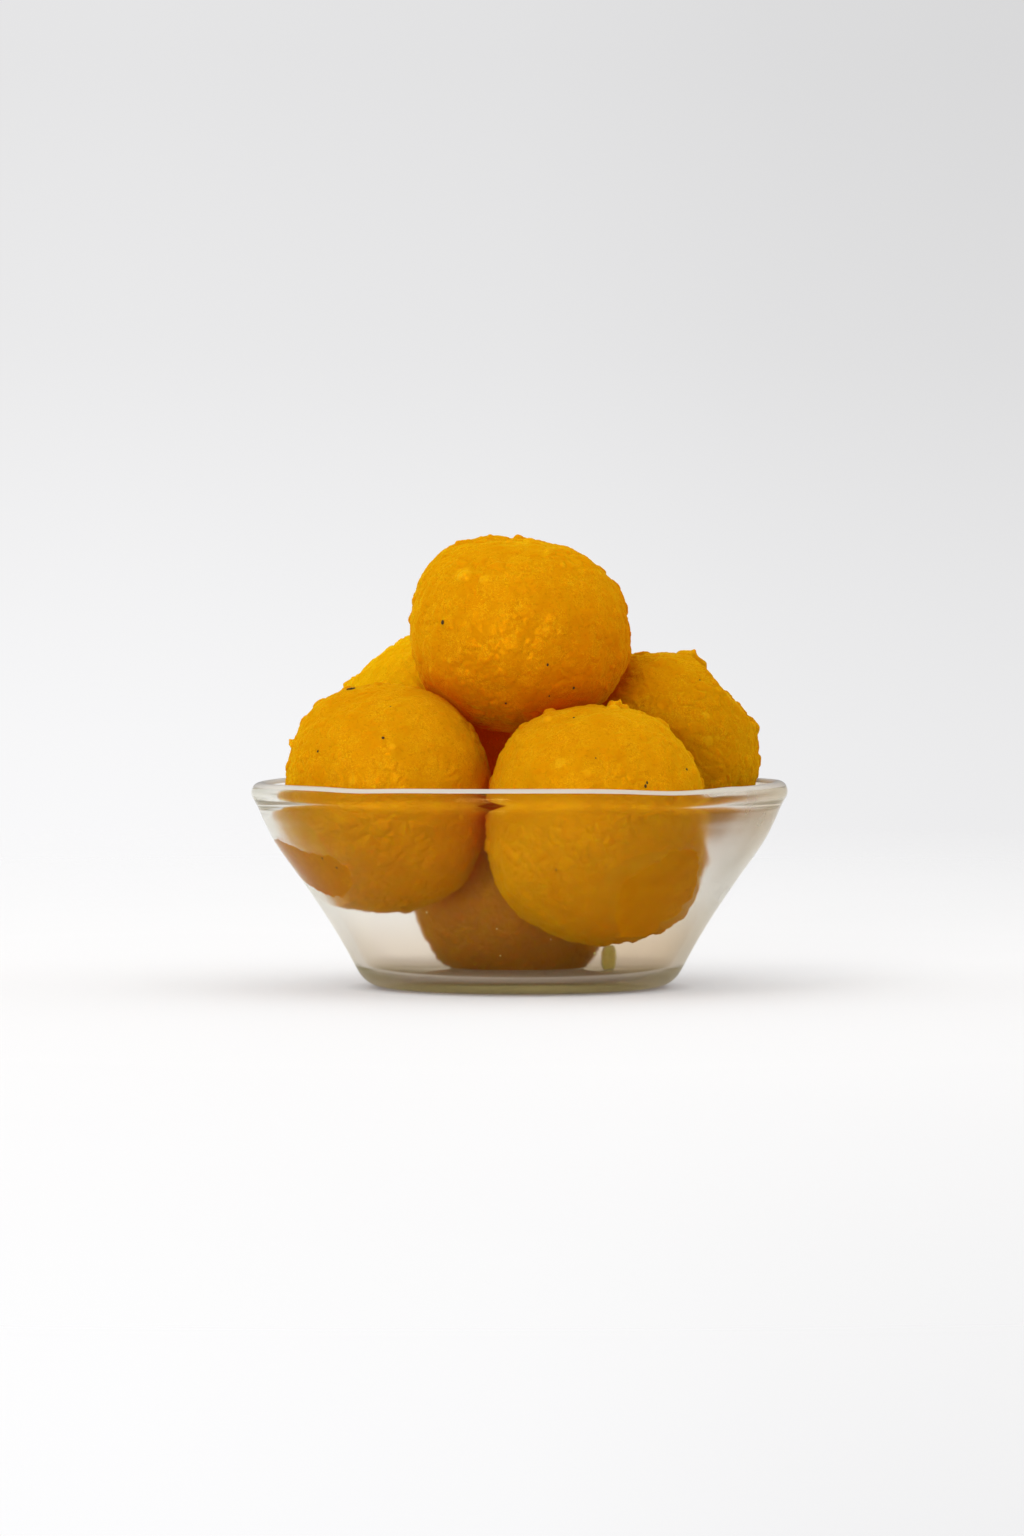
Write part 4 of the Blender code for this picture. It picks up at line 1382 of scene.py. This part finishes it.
def make_light(name, place, size, power):
    deselect_all()
    bpy.ops.object.light_add(type="AREA", location=place)
    light = bpy.context.object
    light.name = name
    light.data.shape = "DISK"
    light.data.size = size
    light.data.energy = power
    aim(light, LIT_PLACE)


def make_camera(settings):
    deselect_all()
    bpy.ops.object.camera_add(location=(0.0, -settings.distance, settings.height))
    camera = bpy.context.object
    camera.name = "camera"
    camera.data.lens = settings.lens
    camera.data.sensor_width = 36.0
    camera.data.sensor_fit = "AUTO"
    camera.data.clip_start = 0.05
    camera.data.clip_end = 20.0
    aim(camera, CAMERA_AIM)
    bpy.context.scene.camera = camera


# ---------------------------------------------------------------- operators and panel


class LADOOS_OT_bowl(Operator):
    """Build the clear glass bowl"""

    bl_idname = "ladoos.bowl"
    bl_label = "Glass bowl"

    def execute(self, context):
        settings = context.scene.ladoos_bowl
        glaze_bowl(make_glass_bowl(settings), settings)
        return {"FINISHED"}


class LADOOS_OT_ladoos(Operator):
    """Build the six ladoos and the specks in their skins"""

    bl_idname = "ladoos.ladoos"
    bl_label = "Ladoos"

    def execute(self, context):
        for item in LADOOS:
            make_ladoo(item, context.scene.ladoos_sweets, context.scene.ladoos_bowl)
        make_specks(context.scene.ladoos_sweets, context.scene.ladoos_bowl)
        return {"FINISHED"}


class LADOOS_OT_crumbs(Operator):
    """Build the loose grain on the bowl's floor and the crumbs on the glass"""

    bl_idname = "ladoos.crumbs"
    bl_label = "Crumbs"

    def execute(self, context):
        material = crumb_material(context.scene.ladoos_sweets)
        make_loose_grain(material)
        make_crumbs(material, context.scene.ladoos_bowl)
        return {"FINISHED"}


class LADOOS_OT_stage(Operator):
    """Build the pale floor, the soft light, the surroundings and the camera"""

    bl_idname = "ladoos.stage"
    bl_label = "Stage"

    def execute(self, context):
        settings = context.scene.ladoos_stage
        make_floor(settings)
        make_surroundings(settings)
        make_light("key", KEY_PLACE, KEY_SIZE, settings.key)
        make_light("front_fill", FRONT_FILL_PLACE, FRONT_FILL_SIZE, settings.front_fill)
        make_camera(settings)
        context.scene.view_settings.view_transform = "Standard"
        context.scene.cycles.max_bounces = LIGHT_BOUNCES
        context.scene.cycles.glossy_bounces = LIGHT_BOUNCES
        context.scene.cycles.transmission_bounces = LIGHT_BOUNCES
        return {"FINISHED"}


class LADOOS_PT_panel(Panel):
    """Lists the operators and their settings"""

    bl_label = "Ladoos in a glass bowl"
    bl_idname = "LADOOS_PT_panel"
    bl_space_type = "VIEW_3D"
    bl_region_type = "UI"
    bl_category = "Ladoos"

    def draw(self, context):
        for operator, settings in (
            ("ladoos.bowl", context.scene.ladoos_bowl),
            ("ladoos.ladoos", context.scene.ladoos_sweets),
            ("ladoos.crumbs", None),
            ("ladoos.stage", context.scene.ladoos_stage),
        ):
            box = self.layout.box()
            box.operator(operator)
            if settings:
                for name in settings.__annotations__:
                    box.prop(settings, name)


CLASSES = (
    BowlSettings, LadooSettings, StageSettings,
    LADOOS_OT_bowl, LADOOS_OT_ladoos, LADOOS_OT_crumbs, LADOOS_OT_stage, LADOOS_PT_panel,
)


def register():
    for item in CLASSES:
        bpy.utils.register_class(item)
    bpy.types.Scene.ladoos_bowl = PointerProperty(type=BowlSettings)
    bpy.types.Scene.ladoos_sweets = PointerProperty(type=LadooSettings)
    bpy.types.Scene.ladoos_stage = PointerProperty(type=StageSettings)


def unregister():
    del bpy.types.Scene.ladoos_stage
    del bpy.types.Scene.ladoos_sweets
    del bpy.types.Scene.ladoos_bowl
    for item in reversed(CLASSES):
        bpy.utils.unregister_class(item)


def main():
    register()
    bpy.ops.ladoos.bowl()
    bpy.ops.ladoos.ladoos()
    bpy.ops.ladoos.crumbs()
    bpy.ops.ladoos.stage()
    bpy.context.view_layer.update()


if __name__ == "__main__":
    main()
